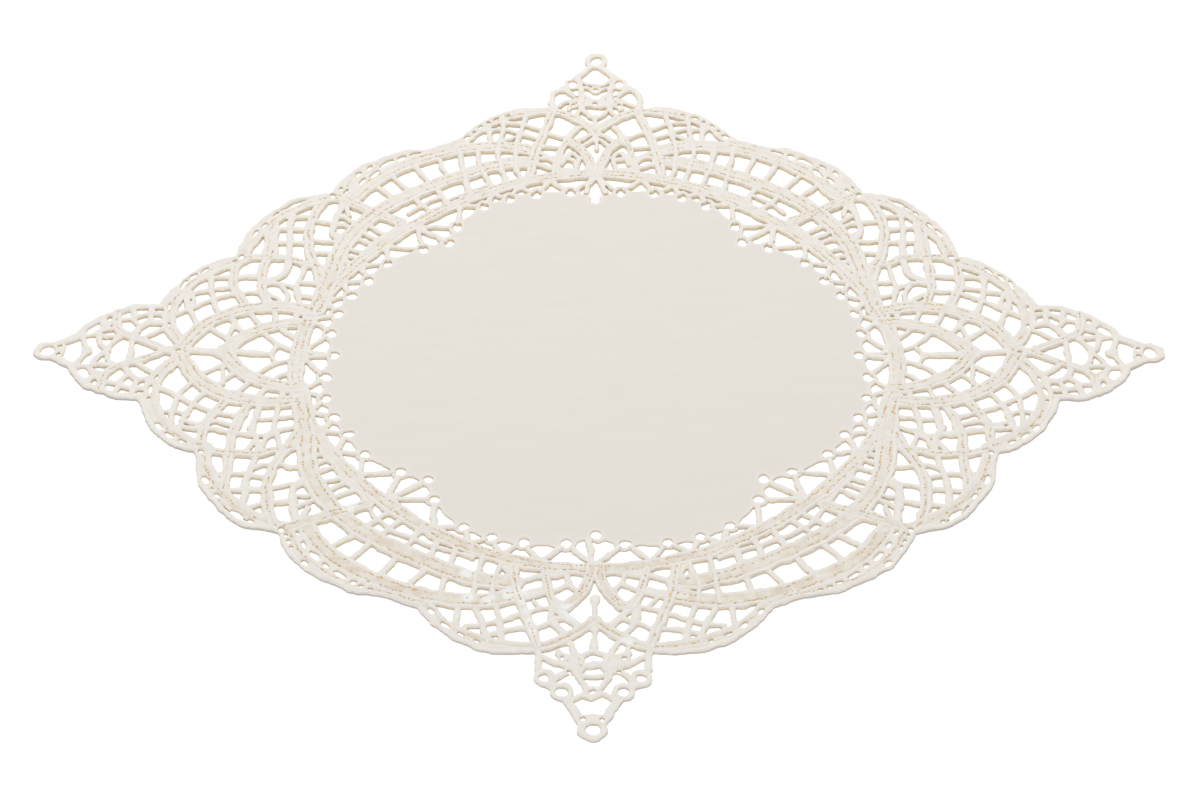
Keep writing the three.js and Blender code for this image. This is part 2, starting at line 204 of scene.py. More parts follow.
# %% Net of the first scallop
work("both",
     (3.2, (248, 33), (236, 41), (228, 47), (215, 53.6), (201, 56.5)),
     (3.4, (236, 67.2), (220, 68.4), (210, 69), (201, 71)))
work("front",
     (3.2, (230, 28), (236.3, 40), (237.3, 50.3), (237, 63)),
     (3.2, (221, 35), (227.4, 48.1), (229.8, 58.9), (231.4, 69)),
     (2.6, (243.5, 54), (236.8, 53.2), (229, 56.5)),
     (3, (231, 62), (220.3, 65.1), (212.3, 61.7), (202, 64)),
     (3.4, (201, 71), (191.4, 72), (183, 71.8), (178.6, 68.2), (172.5, 65.6), (163, 60.5)),
     (3.8, (188.4, 43), (190.6, 56), (191.4, 68)),
     (3.2, (177.6, 41), (179, 54.1), (179, 63.9), (176.7, 72.4), (173, 81.5)),
     (3.2, (193, 65), (187.5, 75.4), (186.2, 87)),
     (2.8, (191, 57.6), (179.4, 56.6), (164, 52.6)),
     (2.8, (185, 84), (182.7, 75.1), (178, 70.5)),
     (2.8, (192.6, 87), (189.1, 77)))
work("back",
     (3.2, (243.6, 54), (242.9, 43), (238.6, 33.6), (233.6, 23)),
     (2.6, (241.5, 52), (238.6, 44.1), (241.3, 36.5)),
     (3.2, (231.6, 69), (230, 54), (223, 35)),
     (3, (242, 52.6), (231, 55.2), (217, 60)),
     (3.2, (176, 84), (178.6, 68.9), (179.4, 58.4), (175, 43)),
     (4.6, (186.8, 87), (189.5, 72.5), (201, 64.5)),
     (3.2, (199, 62.8), (189.5, 64.6), (179.3, 60.7), (177.2, 55.1), (163, 52.8)),
     (3.2, (178, 66.7), (163, 66.8)),
     (3, (200, 57), (190.1, 50.6), (185, 42)),
     (2.8, (189, 64), (184, 54), (186, 44)))

# %% Net of the second scallop
work("both", (3.6, (186.5, 87), (187.5, 97), (189, 108.6), (189.6, 119.4), (189, 134)))
work("front",
     (3.2, (208, 107), (198.5, 105.8), (190.4, 104.9), (184.7, 107.2), (177, 107.6)),
     (3.2, (201, 120.4), (190.2, 118.6), (177, 117)),
     (3.4, (188.5, 134), (182.7, 131.5), (175, 128.4)),
     (2.8, (187.5, 101), (181.7, 97), (175, 98)))
work("back",
     (3, (198, 123), (197, 108), (195.6, 89)),
     (3.2, (199, 103.4), (179, 103.2)),
     (3.2, (198, 116.6), (179, 116.2)),
     (3.2, (191, 127.4), (176, 128.6)),
     (3.6, (205, 110), (199, 111)))

# %% Bars between the side tapes and inside the inner one
work("both",
     (3, (229, 23.5), (213, 10.5)),
     (3, (217, 32), (206, 17)),
     (3, (204.8, 37), (197.2, 25)),
     (3, (192, 42), (187.4, 29)),
     (3.4, (177.6, 41), (177, 30.5)),
     (2.4, (214.4, 14), (212.2, 28.5)),
     (4, (213, 0), (241, 0)),
     (4.4, (208, 0), (198, 0)),
     (3.4, (199, 0), (188, 0)),
     (2.6, (188, 0), (184.4, 8.2)),
     (3, (194, 18.5), (184.6, 8.8), (171, 3)),
     (3, (184, 24.6), (180, 18.8), (170, 12.4)))

# %% Wedge between the long tape, the ring and the cross tape
work("both",
     (2.8, (149, 84), (143.5, 92.5), (140.4, 99.3), (135.5, 109), (129.6, 114.5), (124.3, 123)),
     (3, (158, 84.5), (152, 87), (145.5, 82)),
     (3, (155, 94), (141, 89)),
     (3, (152, 101), (139, 95)),
     (3, (149, 110.5), (134, 103.8)),
     (3, (144, 116), (135.4, 109.5)),
     (3.2, (141, 122), (132.2, 115.6), (125, 111.4)))

# %% Ladders between the long tapes and the ring
work("front",
     (3.2, (140, 163.6), (125, 149.8)),
     (3.2, (129.5, 174.4), (117, 157.2)),
     (3.8, (114, 186.8), (103, 168.4)),
     (3.2, (97.5, 193), (88.4, 178)),
     (3.2, (80.6, 199), (76.6, 183)))
work("back",
     (3.2, (140, 161), (125, 146.5)),
     (3.2, (131, 171.5), (117, 154.5)),
     (3.2, (116.5, 183.2), (106.4, 164.2)),
     (3.2, (103, 190), (95.2, 171.6)))
work("front",
     (3.2, (124.5, 148.5), (116.4, 138.7), (105, 130.6)),
     (3.2, (116, 155), (108.6, 144.5), (100, 136)),
     (3.2, (101.4, 166), (95.6, 152.2), (91, 143)),
     (3.4, (88, 172), (84.6, 159.6), (81.6, 151)),
     (3.4, (77, 178), (73.2, 163), (71.8, 157)),
     (2.8, (121, 129), (116.4, 137.6), (105.8, 148.1), (95.5, 153.3), (84, 159.4), (73.3, 163.2),
      (64, 167.6)))
work("back",
     (3.2, (117, 152), (101, 135.5)),
     (3.2, (102.5, 162), (92, 142)),
     (2.6, (97, 147.5), (90, 152.4), (81.6, 157.8), (71, 164)),
     (2.6, (118, 136), (109, 145), (98, 153)))
# These run on over the long tapes
work("front",
     (3.2, (64, 204), (62.6, 192.3), (62, 184), (60.3, 177), (58.4, 166)),
     (3, (52.4, 202), (53, 192), (52.2, 185), (48.8, 173)), lifted=1)
work("back",
     (3.2, (89, 198), (85.8, 179), (83.6, 168), (79, 153)),
     (3.2, (76.8, 201), (74.9, 184.3), (71.2, 173.3), (67, 163)),
     (3.2, (60, 230), (61.6, 213.4), (63.5, 198.3), (61.2, 182.2), (56, 165.5)),
     (3.2, (46, 235), (50.3, 213.6), (52.2, 197.2), (50.8, 180), (47.6, 168.6)), lifted=1)

# %% Net of the fourth scallop
work("front",
     (2.4, (46.7, 174.5), (43.6, 182)),
     (2.8, (69.8, 205), (70.4, 222)),
     (3.4, (62, 206), (57.5, 218.2), (54.6, 228.6), (53.4, 235)),
     (3.2, (51.6, 205), (48, 218), (46, 236)),
     (3, (65, 222.6), (55.5, 221.1), (48, 218), (34, 211.2)),
     (3, (54, 229), (47, 227.3), (42.7, 225.3), (31, 223.6)))
work("back",
     (3.2, (71.2, 223), (68.6, 204)),
     (3, (72, 218.6), (60.2, 219.8), (49.5, 216.1), (36, 209.6)),
     (3, (59.6, 226.4), (47.4, 225.1), (34, 218.6)),
     (2.8, (62, 207.6), (51, 214)))

# %% Net round the end axis
work("front", (6.2, (46, 199.4), (37, 197.6), (30, 195.6), (24.5, 192.8)))
work("back", (3.2, (44, 198.6), (37, 196.4), (32.3, 194.2), (25.6, 186)))
work("both", (3.6, (46, 187.6), (38.6, 186), (28, 181.2), (18, 180.4), (13, 178.4)))
work("front",
     (3.6, (21, 207.6), (21.4, 215), (19.8, 221.6), (13.8, 230)),
     (3, (35, 211.6), (27, 207.8), (21, 207.4)),
     (3, (31, 225.4), (22.6, 220.6), (15.4, 216.4)),
     (2.4, (31, 201), (27.5, 207.4)),
     (3, (15, 178.5), (13.6, 187.2), (8.8, 194)),
     (3, (21.4, 193.6), (13.8, 188)),
     (3, (20.6, 201), (14, 205.4)),
     (4.6, (20.4, 204.6), (18.4, 208.8), (13.4, 215.6), (8, 221.8)),
     (4.4, (0, 199), (0, 200.4)))
work("back",
     (4.6, (20.4, 204.6), (18.8, 209.4), (16.4, 215.4), (12.6, 221.6)),
     (4, (14.5, 206.5), (18.4, 210)),
     (3, (31.5, 216.4), (18.4, 210.4)),
     (3, (36.5, 202.4), (24, 202)),
     (3.2, (38, 191.4), (22, 191.6), (11.5, 188.4)),
     (3, (13.2, 178), (11.6, 190)),
     (2.8, (22, 186), (16.6, 196.2), (11, 191.6)),
     (3, (13, 207.2), (7.6, 211.8), (2.4, 215)),
     (3, (8.4, 203.4), (3.9, 208.5), (0.6, 211.2)))
work("both",
     (2.2, (0, 200), (0, 209), (0, 217)),
     (3.4, (0, 224.6), (0, 226)))
work("front",
     (2, (0, 226), (0, 232), (0, 242)),
     (3.4, (0, 234.5), (0, 239.5)))
work("back", (2, (0, 226), (0, 234)))

# %% Side cap
work("both",
     (5, (313, 6), (300, 14.5)),
     (4.2, (301, 15.5), (296.5, 23.5), (288.5, 31.5), (281.5, 34.5), (271.4, 40.2), (258, 40.2)),
     (3.2, (300, 14), (292, 15), (287, 22), (281, 27.5), (273, 29.5), (266, 33.5), (257, 34)))
work("back", (3.4, (297.6, 20.4), (291, 16.4)))
work("both",
     (4.6, (291.5, 28.5), (287.5, 23.5)),
     (4, (281.8, 34), (281, 27)),
     (3.6, (273.4, 38.4), (271, 30)),
     (3.6, (262.6, 40), (262.6, 34)),
     (3.2, (300, 14), (297.5, 7.3), (295, -1)),
     (6.4, (295, -0.5), (295, 0.5)),
     (3, (293, 14.6), (285, 12.5), (277.6, 13)),
     (3, (289.7, 13), (287.8, 6.2), (283, 0)),
     (3, (277.6, 12), (281.5, 7.3), (283, 0)),
     (3.2, (269.6, 12), (269.4, -1)),
     (4, (252, 24), (261, 26), (267, 21), (271, 13)),
     (3.2, (252, 21), (259, 15.5), (266, 10)),
     (3.4, (261, 25.5), (263, 34)),
     (3, (267, 22), (273, 29)),
     (3, (284, 20), (290, 17)))

# %% End cap
work("front",
     (4.6, (4.2, 293), (13, 276.4)),
     (3.4, (28, 239), (27.2, 245), (27.2, 254)),
     (10.2, (23.9, 259.6), (24.1, 261.4)))
work("back",
     (4.8, (2.4, 291), (13.2, 276)),
     (3.8, (28, 239), (28.8, 246), (29.4, 253), (27.8, 259.4), (23.6, 263.4), (17.6, 266)))
work("both",
     (11.2, (15.4, 269.6), (15.6, 271.2)),
     (5.4, (22, 263.6), (18.6, 267.4)))
work("front", (3, (2.8, 269.4), (8.2, 259.6)))
work("back", (3.4, (10.6, 268), (9, 256)))
work("both",
     (3.4, (11, 254), (19.4, 262.2), (22.2, 265.4)),
     (3.2, (26, 244.8), (16, 251.6), (10, 252.6)),
     (3, (12.2, 236), (7.4, 245.6)),
     (3, (17.4, 243), (12.2, 245.4)),
     (2.6, (17.4, 241), (15.8, 251)))
work("front",
     (3.2, (10.6, 276.4), (5, 272), (2.8, 273), (0, 274)),
     (6.4, (0, 270), (0, 271)),
     (3.2, (7, 245.6), (3.2, 243.2), (0, 242.4)),
     (4.4, (7, 251.4), (0, 251.2)),
     (3.4, (6.4, 258.6), (3, 259.2), (0, 259.2)))
work("back",
     (3.2, (11, 275.4), (5, 269.4), (0, 268.4)),
     (3, (9.5, 243), (5.5, 236), (2.6, 232.6), (0, 231.6)),
     (9.4, (7, 248), (0, 248)),
     (6, (0, 263), (0, 264)),
     (2.6, (2, 263.4), (9, 266)))

# %% Worked rings at the tips
work("both", (15.4, (317.1, 0), (317.5, 0)))
work("front",
     (14.2, (0, 296.9), (0, 297.1)),
     (5.6, (0, 289.4), (4.6, 289.2)))
work("back", (14, (0, 295.6), (0, 298.4)))
work("both", (5.2, (310.6, 0), (310.4, 3.6)))

# %% [markdown]
# Round the cloth runs a row of small worked holes, and between each two holes a pair of bars meets on
# the ring tape, so that a zigzag joins the cloth to the ring. At the axes and at the four corners the
# bars of two gaps gather to one point. The holes were made by hand and are not evenly spaced, so each
# is a row of a table: its turn from the end axis and its reach from the middle.

# %% Holes and bars round the cloth
# turn in degrees, reach
EDGE_HOLES = ((0, 149.2), (5.8, 157), (13.7, 159.5), (20, 160.4), (26.2, 159), (35.4, 149.6), (40.5, 139.5),
              (46.8, 145.8), (56, 152.8), (63.3, 153.8), (69.4, 156), (76, 157), (82.8, 156), (90, 151.3))
EDGE_HOLE_RADIUS, EDGE_RIM = 3.1, 2.2
RAY_WIDTH, RAY_INWARDS, FOOT_CLEARANCE = 3.1, 3.0, 1.2
# gap: turn and distance inwards of the point where its bars meet
GATHERED = {0: (0.5, 5.6), 5: (42.4, RAY_INWARDS), 6: (42.4, RAY_INWARDS), 12: (89.2, RAY_INWARDS)}
# side, foot of the bar at the end axis, in steps of a hole's rim
AXIS_FEET = (("back", (1.5, 1.75)), ("front left", (0.9, 0.9)))


def polar(turn, reach):
    """A point by its turn from the end axis and its reach from the middle."""
    return np.array([reach * math.sin(math.radians(turn)), reach * math.cos(math.radians(turn))])


ray_paths = []
for gap, pair in enumerate(zip(EDGE_HOLES, EDGE_HOLES[1:])):
    apex = ring_point(*GATHERED.get(gap, ((pair[0][0] + pair[1][0]) / 2, RAY_INWARDS)))
    for turn, reach in pair:
        spot = polar(turn, reach)
        towards = (apex - spot) / np.hypot(*(apex - spot))
        for side, foot in AXIS_FEET if turn == 0 else (("both", towards),):
            end = spot + np.array(foot) * (EDGE_HOLE_RADIUS + FOOT_CLEARANCE)
            ray_paths.append((SIDES[side], 0, RAY_WIDTH, laid((apex, end))))
print(len(ray_paths), "bars round the cloth a quarter")

# %% [markdown]
# The scallops and caps have small slits and round holes of their own, where the outer cord leaves the
# tape or a ring was worked. Each is an ellipse, and those at the back were pulled longer from front
# to back when the lace was stretched.

# %% Worked holes and slits in the lace
# y, how much longer a hole was pulled from front to back
HOLE_STRETCH = ((-120, 1.0), (120, 1.3))
# side: rows of x, y, half length, half width, turn in degrees
HOLES = {
    "both": ((317.3, 0, 3.8, 3.8, 0), (310.8, 3.4, 1.4, 1.2, 0), (0, 297, 3.7, 3.7, 0),
        (216.4, 88, 1.7, 1.6, 0), (166.3, 150, 1.6, 1.9, 0), (242, 0, 1.3, 1.2, 0),
        (250.8, 24, 1.8, 0.9, 66), (277.4, 32.4, 2.6, 1.5, 155), (15.5, 270.6, 3, 3.3, 0),
        (12.6, 256.6, 1.3, 1, 0), (15.4, 246.6, 1.2, 1.4, 0)),
    "front": ((4.2, 289.8, 1.4, 1.5, 0), (0, 270.4, 1.7, 1.6, 0), (252.6, 34.6, 3.2, 1.2, 86),
        (252.5, 42.4, 1.2, 1, 0), (243.4, 66.6, 3.6, 1.5, 126), (236.6, 73.8, 3.4, 1.4, 138),
        (228.8, 79.2, 2.8, 1.2, 146), (211.4, 110.6, 3.6, 1.6, 108), (203.4, 124.2, 2.8, 1.2, 124),
        (191, 138.4, 5.2, 1.4, 138), (183.4, 144, 1.6, 1.1, 148), (207.2, 118.6, 1.4, 0.8, 120),
        (163.6, 154.6, 1.7, 1, 112), (161.4, 159.6, 1.7, 1, 114), (159.4, 164.4, 1.3, 0.9, 118),
        (151.4, 176.8, 2.6, 1.6, 130), (158, 152.6, 1.8, 1, 112), (153.2, 161.6, 2.8, 1.2, 118),
        (147, 170.6, 4.6, 1.5, 126), (140, 178, 2.2, 1.4, 134), (132.6, 185, 4.6, 1.5, 142),
        (124.7, 190.8, 2.2, 1.3, 150), (119.7, 193.7, 1.8, 1, 155), (115, 195.8, 1.4, 0.9, 160),
        (83.8, 211.6, 2.4, 1.4, -56), (75.4, 222.4, 3, 1.5, -46), (67, 229, 2.6, 1, -36),
        (58.8, 234.4, 2.2, 0.9, -26), (294, 18.8, 2.9, 2.9, 0), (24, 260.8, 2.6, 2.7, 0),
        (0, 255.6, 3, 1.8, 0), (193.4, 51.5, 1.2, 1.2, 0), (196.4, 62, 1, 1.2, 0)),
    "back": ((247.4, 62.2, 3.6, 1.3, 118), (242.4, 69, 3.2, 1.4, 130), (236.2, 75, 3.2, 1.3, 138),
        (219.5, 84, 1.3, 1, 0), (253, 41, 2, 0.9, 92), (211, 111.6, 3.2, 1.4, 110),
        (206.6, 119.6, 2.6, 1.2, 120), (194, 137, 1.4, 1, 130), (188.6, 141, 3.6, 1.3, 142),
        (199.4, 131, 2.4, 1, 130), (152.6, 172.4, 2.6, 1.6, 126), (145.8, 179.4, 2.2, 1.2, 134),
        (135, 184.6, 5.4, 1.6, 144), (126, 190.2, 3.2, 1.9, 150), (117.4, 195.2, 4.2, 1.3, 158),
        (149, 165.6, 3.4, 1.4, 124), (142, 173.6, 4.4, 1.6, 132), (158.6, 155, 2.2, 1, 112),
        (162.4, 158, 1.6, 0.9, 114), (85, 211.8, 2.2, 1.7, -56), (80.6, 217.6, 1.2, 1, 0),
        (76.4, 223.2, 2, 1, -48), (71.2, 228, 1.3, 1, -40), (65.6, 231.8, 2.6, 1.1, -32),
        (58.2, 235.4, 1.6, 1, -24), (294.4, 19.4, 4.2, 2.3, 130), (0, 248.4, 1.5, 1.4, 0),
        (0, 263.6, 1.6, 1.5, 0)),
}
print(sum(len(rows) for rows in HOLES.values()), "worked holes and slits")

# %% [markdown]
# When a finished piece is washed and pinned out to dry (blocked), it never comes out quite square.
# Here the round sits a few millimetres forward of the middle, and each pin pulled the lace near it a
# little. A soft seeded noise moves the paths more, so that no two quarters and no two edges are alike.

# %% Blocking and the plan grid
GRID, HALF_COLUMNS, HALF_ROWS = 0.6, 547, 513
CENTRE_FORWARD, FORWARD_WITHIN, FORWARD_BEYOND, FRONT_SPREAD = 4.5, 178.0, 232.0, 0.0001
# x, y, how far the lace was pulled there in x and y
PINS = ((-300, 0, 0, 1.9), (300, 0, 3, -0.2), (0, -280, -0.9, 3.5), (0, 280, -1.5, 3),
        (-180, -110, 0, 2.2), (180, -110, 0.4, 2.2), (-180, 110, 0, 2), (180, 110, -0.8, 2.2),
        (0, -190, 0.2, 0.4), (0, 190, -0.6, 2), (125, -165, 2, 2), (70, 205, -2, 2.8), (-125, 165, 0.8, 1))
PIN_REACH, TINY = 80.0, 1e-9
grid_x = np.arange(-HALF_COLUMNS, HALF_COLUMNS + 1) * GRID
grid_y = np.arange(-HALF_ROWS, HALF_ROWS + 1) * GRID


def blocked(points):
    """Where points of the drawn pattern come to lie on the finished piece."""
    points = np.asarray(points, float)
    share = (FORWARD_BEYOND - np.hypot(points[..., 0], points[..., 1])) / (FORWARD_BEYOND - FORWARD_WITHIN)
    pull, pull_share = np.zeros_like(points), np.zeros(points.shape[:-1] + (1,))
    for x, y, *shift in PINS:
        near = np.exp(-((points[..., :1] - x) ** 2 + (points[..., 1:] - y) ** 2) / PIN_REACH ** 2)
        pull += near * shift
        pull_share += near
    return pull / pull_share + np.stack([points[..., 0] * (1 - FRONT_SPREAD * points[..., 1]),
                                         points[..., 1] - CENTRE_FORWARD * np.clip(share, 0, 1)], -1)


SOFTNESS = 1.2


def soft_noise(seed, high, wavelength):
    """Smooth noise over the grid, with lumps of about one wavelength."""
    white = np.random.default_rng(seed).standard_normal((len(grid_y), len(grid_x)))
    pitch = np.fft.rfftfreq(len(grid_x), GRID)[None] ** 2 + np.fft.fftfreq(len(grid_y), GRID)[:, None] ** 2
    soft = np.fft.irfft2(np.fft.rfft2(white) * np.exp(-pitch * wavelength ** 2 / SOFTNESS), s=white.shape)
    return high * (soft / soft.std())


# reach and wavelength of the slow drift and of the quick waver of the paths
DRIFT, WAVER = (0.32, 13), (0.12, 4.5)
plan_x, plan_y = np.meshgrid(grid_x, grid_y)
lace_x = plan_x + soft_noise(11, *DRIFT) + soft_noise(12, *WAVER)
lace_y = plan_y + soft_noise(13, *DRIFT) + soft_noise(14, *WAVER)
print("plan grid", plan_x.shape, "points,", GRID, "mm apart")

# %% [markdown]
# The edge of a stroke is where the distance to its path is half its width. So painting needs each grid
# point's distance to a path and its way along it, in a small window of the grid, which keeps it quick.
# The other helpers join two shapes, round a side and raise a ridge.


# %% Distances on the grid
def window(lowest, highest):
    """The part of the grid between two corners."""
    left, last = np.searchsorted(grid_x, (lowest[0], highest[0]))
    bottom, first = np.searchsorted(grid_y, (lowest[1], highest[1]))
    return slice(bottom, first), slice(left, last)


def distance_to(path, reach):
    """The grid window round a path, and there each point's distance to the path and its way along it."""
    area = window(path.min(0) - reach, path.max(0) + reach)
    nearest = np.full(plan_x[area].shape, np.inf)
    way = np.zeros(nearest.shape)
    passed = 0.0
    for start, end in zip(path, path[1:]):
        part = window(np.minimum(start, end) - reach, np.maximum(start, end) + reach)
        x, y = lace_x[part] - start[0], lace_y[part] - start[1]
        run = end - start
        share = np.clip((x * run[0] + y * run[1]) / max(run @ run, TINY), 0, 1)
        here = tuple(slice(p.start - a.start, p.stop - a.start) for p, a in zip(part, area))
        off = np.hypot(x - share * run[0], y - share * run[1])
        closer = off < nearest[here]
        nearest[here] = np.where(closer, off, nearest[here])
        way[here] = np.where(closer, passed + share * np.hypot(*run), way[here])
        passed += np.hypot(*run)
    return area, nearest, way


CORNER_FILL = 0.2


def melt(edge, new, reach):
    """Joins two shapes so that the corner between them fills like thread drawn tight."""
    near = np.clip(reach - np.abs(edge - new), 0, None)
    return np.maximum(edge, new) + near ** 2 / reach * CORNER_FILL


def rounded(depth, radius, high):
    """A height that rises from an edge like the side of a cord."""
    share = np.clip(depth / radius, 0, 1)
    return high * np.sqrt(1 - (1 - share) ** 2)


def ridge(depth, at, wide):
    """A soft ridge, 1 high, along one depth."""
    return np.exp(-((depth - at) / wide) ** 2)


def front_to_back(table, y):
    """A value between the rows of a table of y and value."""
    return np.interp(y, *zip(*table))


# %% [markdown]
# The relief: a tape is flat with a raised border on each side and a shallow groove inside it, a cord or
# bar is round, and the tapes on top of a crossing sit higher. A patch is woven cloth stitch with no
# border. Every stroke is painted into the same grid, and the higher surface wins.

# %% Paint the tapes and bars
TAPE_CROWN, BAR_CROWN, WEB_CROWN, LAYER_HEIGHT, LIFT = 0.75, 0.8, 0.7, 0.12, 0.4
TAPE_ROUND, BAR_ROUND, WEB_ROUND, STROKE_MELT, BEYOND_STROKE = 0.9, 1.35, 1.6, 1.2, 4.0
# height, depth and width of a tape's border and groove
BORDER, GROOVE = (0.18, 1.0, 0.6), (0.1, 2.2, 0.6)
# rows of pinholes, darkened with painted shade: distance from the tape's middle, as a share of its width
ROW_SHARE, PATCH_ROWS, ROW_WIDTH = {1: 0.0, 2: 0.21, 3: 0.26}, 3, 0.5
FLAT_FROM, FLAT_OVER, FAR_OUTSIDE = 1.8, 0.8, -9.0
# how much fuller the strokes are than drawn, and height and wavelength of their uneven edges
FULLNESS, UNEVEN = 0.1, (0.14, 5)
inside = np.full(plan_x.shape, FAR_OUTSIDE)
relief, tape_middle, shaded_row_line, across, along_thread = (np.zeros(plan_x.shape) for _ in range(5))


def paint(path, width, layer, is_tape, rows=0):
    """Paints one stroke: how far inside the lace a point is, its height, and what its finish needs."""
    half = width / 2
    bordered = is_tape and rows != PATCH_ROWS
    area, off, way = distance_to(path, half + BEYOND_STROKE)
    depth = half - off
    inside[area] = melt(inside[area], depth, STROKE_MELT)
    if is_tape:
        surface = rounded(depth, TAPE_ROUND, TAPE_CROWN + LAYER_HEIGHT * layer)
    else:
        surface = rounded(depth, min(half, BAR_ROUND), BAR_CROWN + LIFT * layer)
    if bordered:
        surface += BORDER[0] * ridge(depth, *BORDER[1:]) - GROOVE[0] * ridge(depth, *GROOVE[1:])
    flat = np.clip((depth - FLAT_FROM) / FLAT_OVER, 0, 1) * bordered
    # the line of each row of pinholes, which the lace finish darkens with painted shade
    line = ridge(off, ROW_SHARE[rows] * width, ROW_WIDTH) if rows else np.zeros_like(depth)
    above = (depth > 0) & (surface > relief[area])
    fields = (relief, tape_middle, shaded_row_line, across, along_thread)
    for field, new in zip(fields, (surface, flat, line, off, way)):
        field[area] = np.where(above, new, field[area])


for turn in QUARTERS:
    for name, width, layer, rows, _ in TAPES:
        paint(blocked(tape_paths[name] * turn), width, layer, True, rows)
    for turns, lifted, width, path in bar_paths + ray_paths:
        if turn in turns:
            paint(blocked(path * turn), width, lifted, False)
inside += FULLNESS + soft_noise(17, *UNEVEN)
relief = np.maximum(relief, rounded(inside, WEB_ROUND, WEB_CROWN))
print("lace covers", round((inside > 0).sum() * GRID ** 2 / 100), "square cm before its holes are worked")

# %% [markdown]
# A worked hole is pressed open with a stiletto, so the lace is thin round it. Its edge is cut out of
# the same field, and the relief falls away towards it.

# %% Cut the worked holes
HOLE_WINDOW, HOLE_ROUND, HOLE_CROWN = 12.0, 1.2, 1.6
HOLE_RIM_SHARE, HOLE_RIM_REACH = 0.35, 5.0
thinned = np.ones(plan_x.shape)


def cut_hole(x, y, half_long, half_wide, turn, mirror):
    """Cuts an ellipse through the lace of one quarter."""
    centre = blocked(np.array([x * mirror[0], y * mirror[1]]))
    area = window(centre - HOLE_WINDOW, centre + HOLE_WINDOW)
    stretch = front_to_back(HOLE_STRETCH, centre[1])
    off_x = (lace_x[area] - centre[0]) * mirror[0]
    off_y = (lace_y[area] - centre[1]) * mirror[1] / stretch
    angle = math.radians(turn)
    long_way = (off_x * math.cos(angle) + off_y * math.sin(angle)) / half_long
    wide_way = (off_y * math.cos(angle) - off_x * math.sin(angle)) / half_wide
    away = (np.hypot(long_way, wide_way) - 1) * min(half_long, half_wide)
    rim = np.clip(HOLE_RIM_SHARE + away / HOLE_RIM_REACH, HOLE_RIM_SHARE, 1)
    for field, new in ((inside, away), (relief, rounded(away, HOLE_ROUND, HOLE_CROWN)), (thinned, rim)):
        field[area] = np.minimum(field[area], new)


for side, rows in HOLES.items():
    for hole in rows:
        for mirror in SIDES[side]:
            cut_hole(*hole, mirror)
print("lace covers", round((inside > 0).sum() * GRID ** 2 / 100), "square cm")

# %% [markdown]
# A few places of the front tapes are painted near white, as highlights where light glints off the
# thread. Use has left its marks: the front tapes are warmer than the others, and the edges lie lower in
# front, where the lace has been smoothed down, than at the back.

# %% Painted highlights, warm tapes and the height of the lace
# x, y, radius of the places painted near white as highlights
GLINT_PLACES = ((-134, -132, 5), (-66, -201, 4), (-56, -202, 4), (-45, -198, 4), (-68, -183, 4),
               (-39, -197, 4), (-33, -218, 3), (-32, -226, 3), (17, -233, 4), (-8, -175, 4),
               (-15, -209, 4), (-12, -214, 4), (-37, -204, 3), (-35, -211, 3))
# y, share of the tapes' warm colour
TAPE_TONES = ((-165, 1.0), (-90, 0.38))
# y, height of the edges over the table
EDGE_HEIGHTS = ((-300, 0.4), (-220, 0.5), (-150, 0.75), (-60, 0.8), (60, 1.0), (150, 1.4), (300, 1.45))
# height and wavelength of the lumps of the lace and of its threads
LUMPS, THREAD_LUMPS = (0.06, 9), (0.035, 2.4)
# painted highlight: a soft near-white spot round each listed place
pale = np.zeros(plan_x.shape)
for x, y, radius in GLINT_PLACES:
    pale = np.maximum(pale, np.exp(-((plan_x - x) ** 2 + (plan_y - y) ** 2) / radius ** 2))
tape_middle *= front_to_back(TAPE_TONES, plan_y)
edge_height = front_to_back(EDGE_HEIGHTS, plan_y)
height = edge_height * thinned + relief + soft_noise(15, *LUMPS) + soft_noise(16, *THREAD_LUMPS)
print("the lace is up to", round(height[inside > 0].max(), 2), "mm high")

# %% [markdown]
# The relief becomes a mesh by marching squares: each grid square is cut along the edge of the lace,
# using a table of the sixteen ways that an edge can cross a square. The open edges are then drawn
# down to the table as walls, and a flat underside closes the piece.

# %% Marching squares
# The corners of a square are 0 to 3 anticlockwise, the crossings on its sides are 4 to 7
SQUARE_CASES = {1: ((0, 4, 7),), 2: ((1, 5, 4),), 3: ((0, 1, 5, 7),), 4: ((2, 6, 5),),
                5: ((0, 4, 7), (2, 6, 5)), 6: ((1, 2, 6, 4),), 7: ((0, 1, 2, 6, 7),), 8: ((3, 7, 6),),
                9: ((0, 4, 6, 3),), 10: ((1, 5, 4), (3, 7, 6)), 11: ((0, 1, 5, 6, 3),),
                12: ((2, 3, 7, 5),), 13: ((0, 4, 5, 2, 3),), 14: ((1, 2, 3, 7, 4),), 15: ((0, 1, 2, 3),)}
NEAREST_CROSSING = 0.1


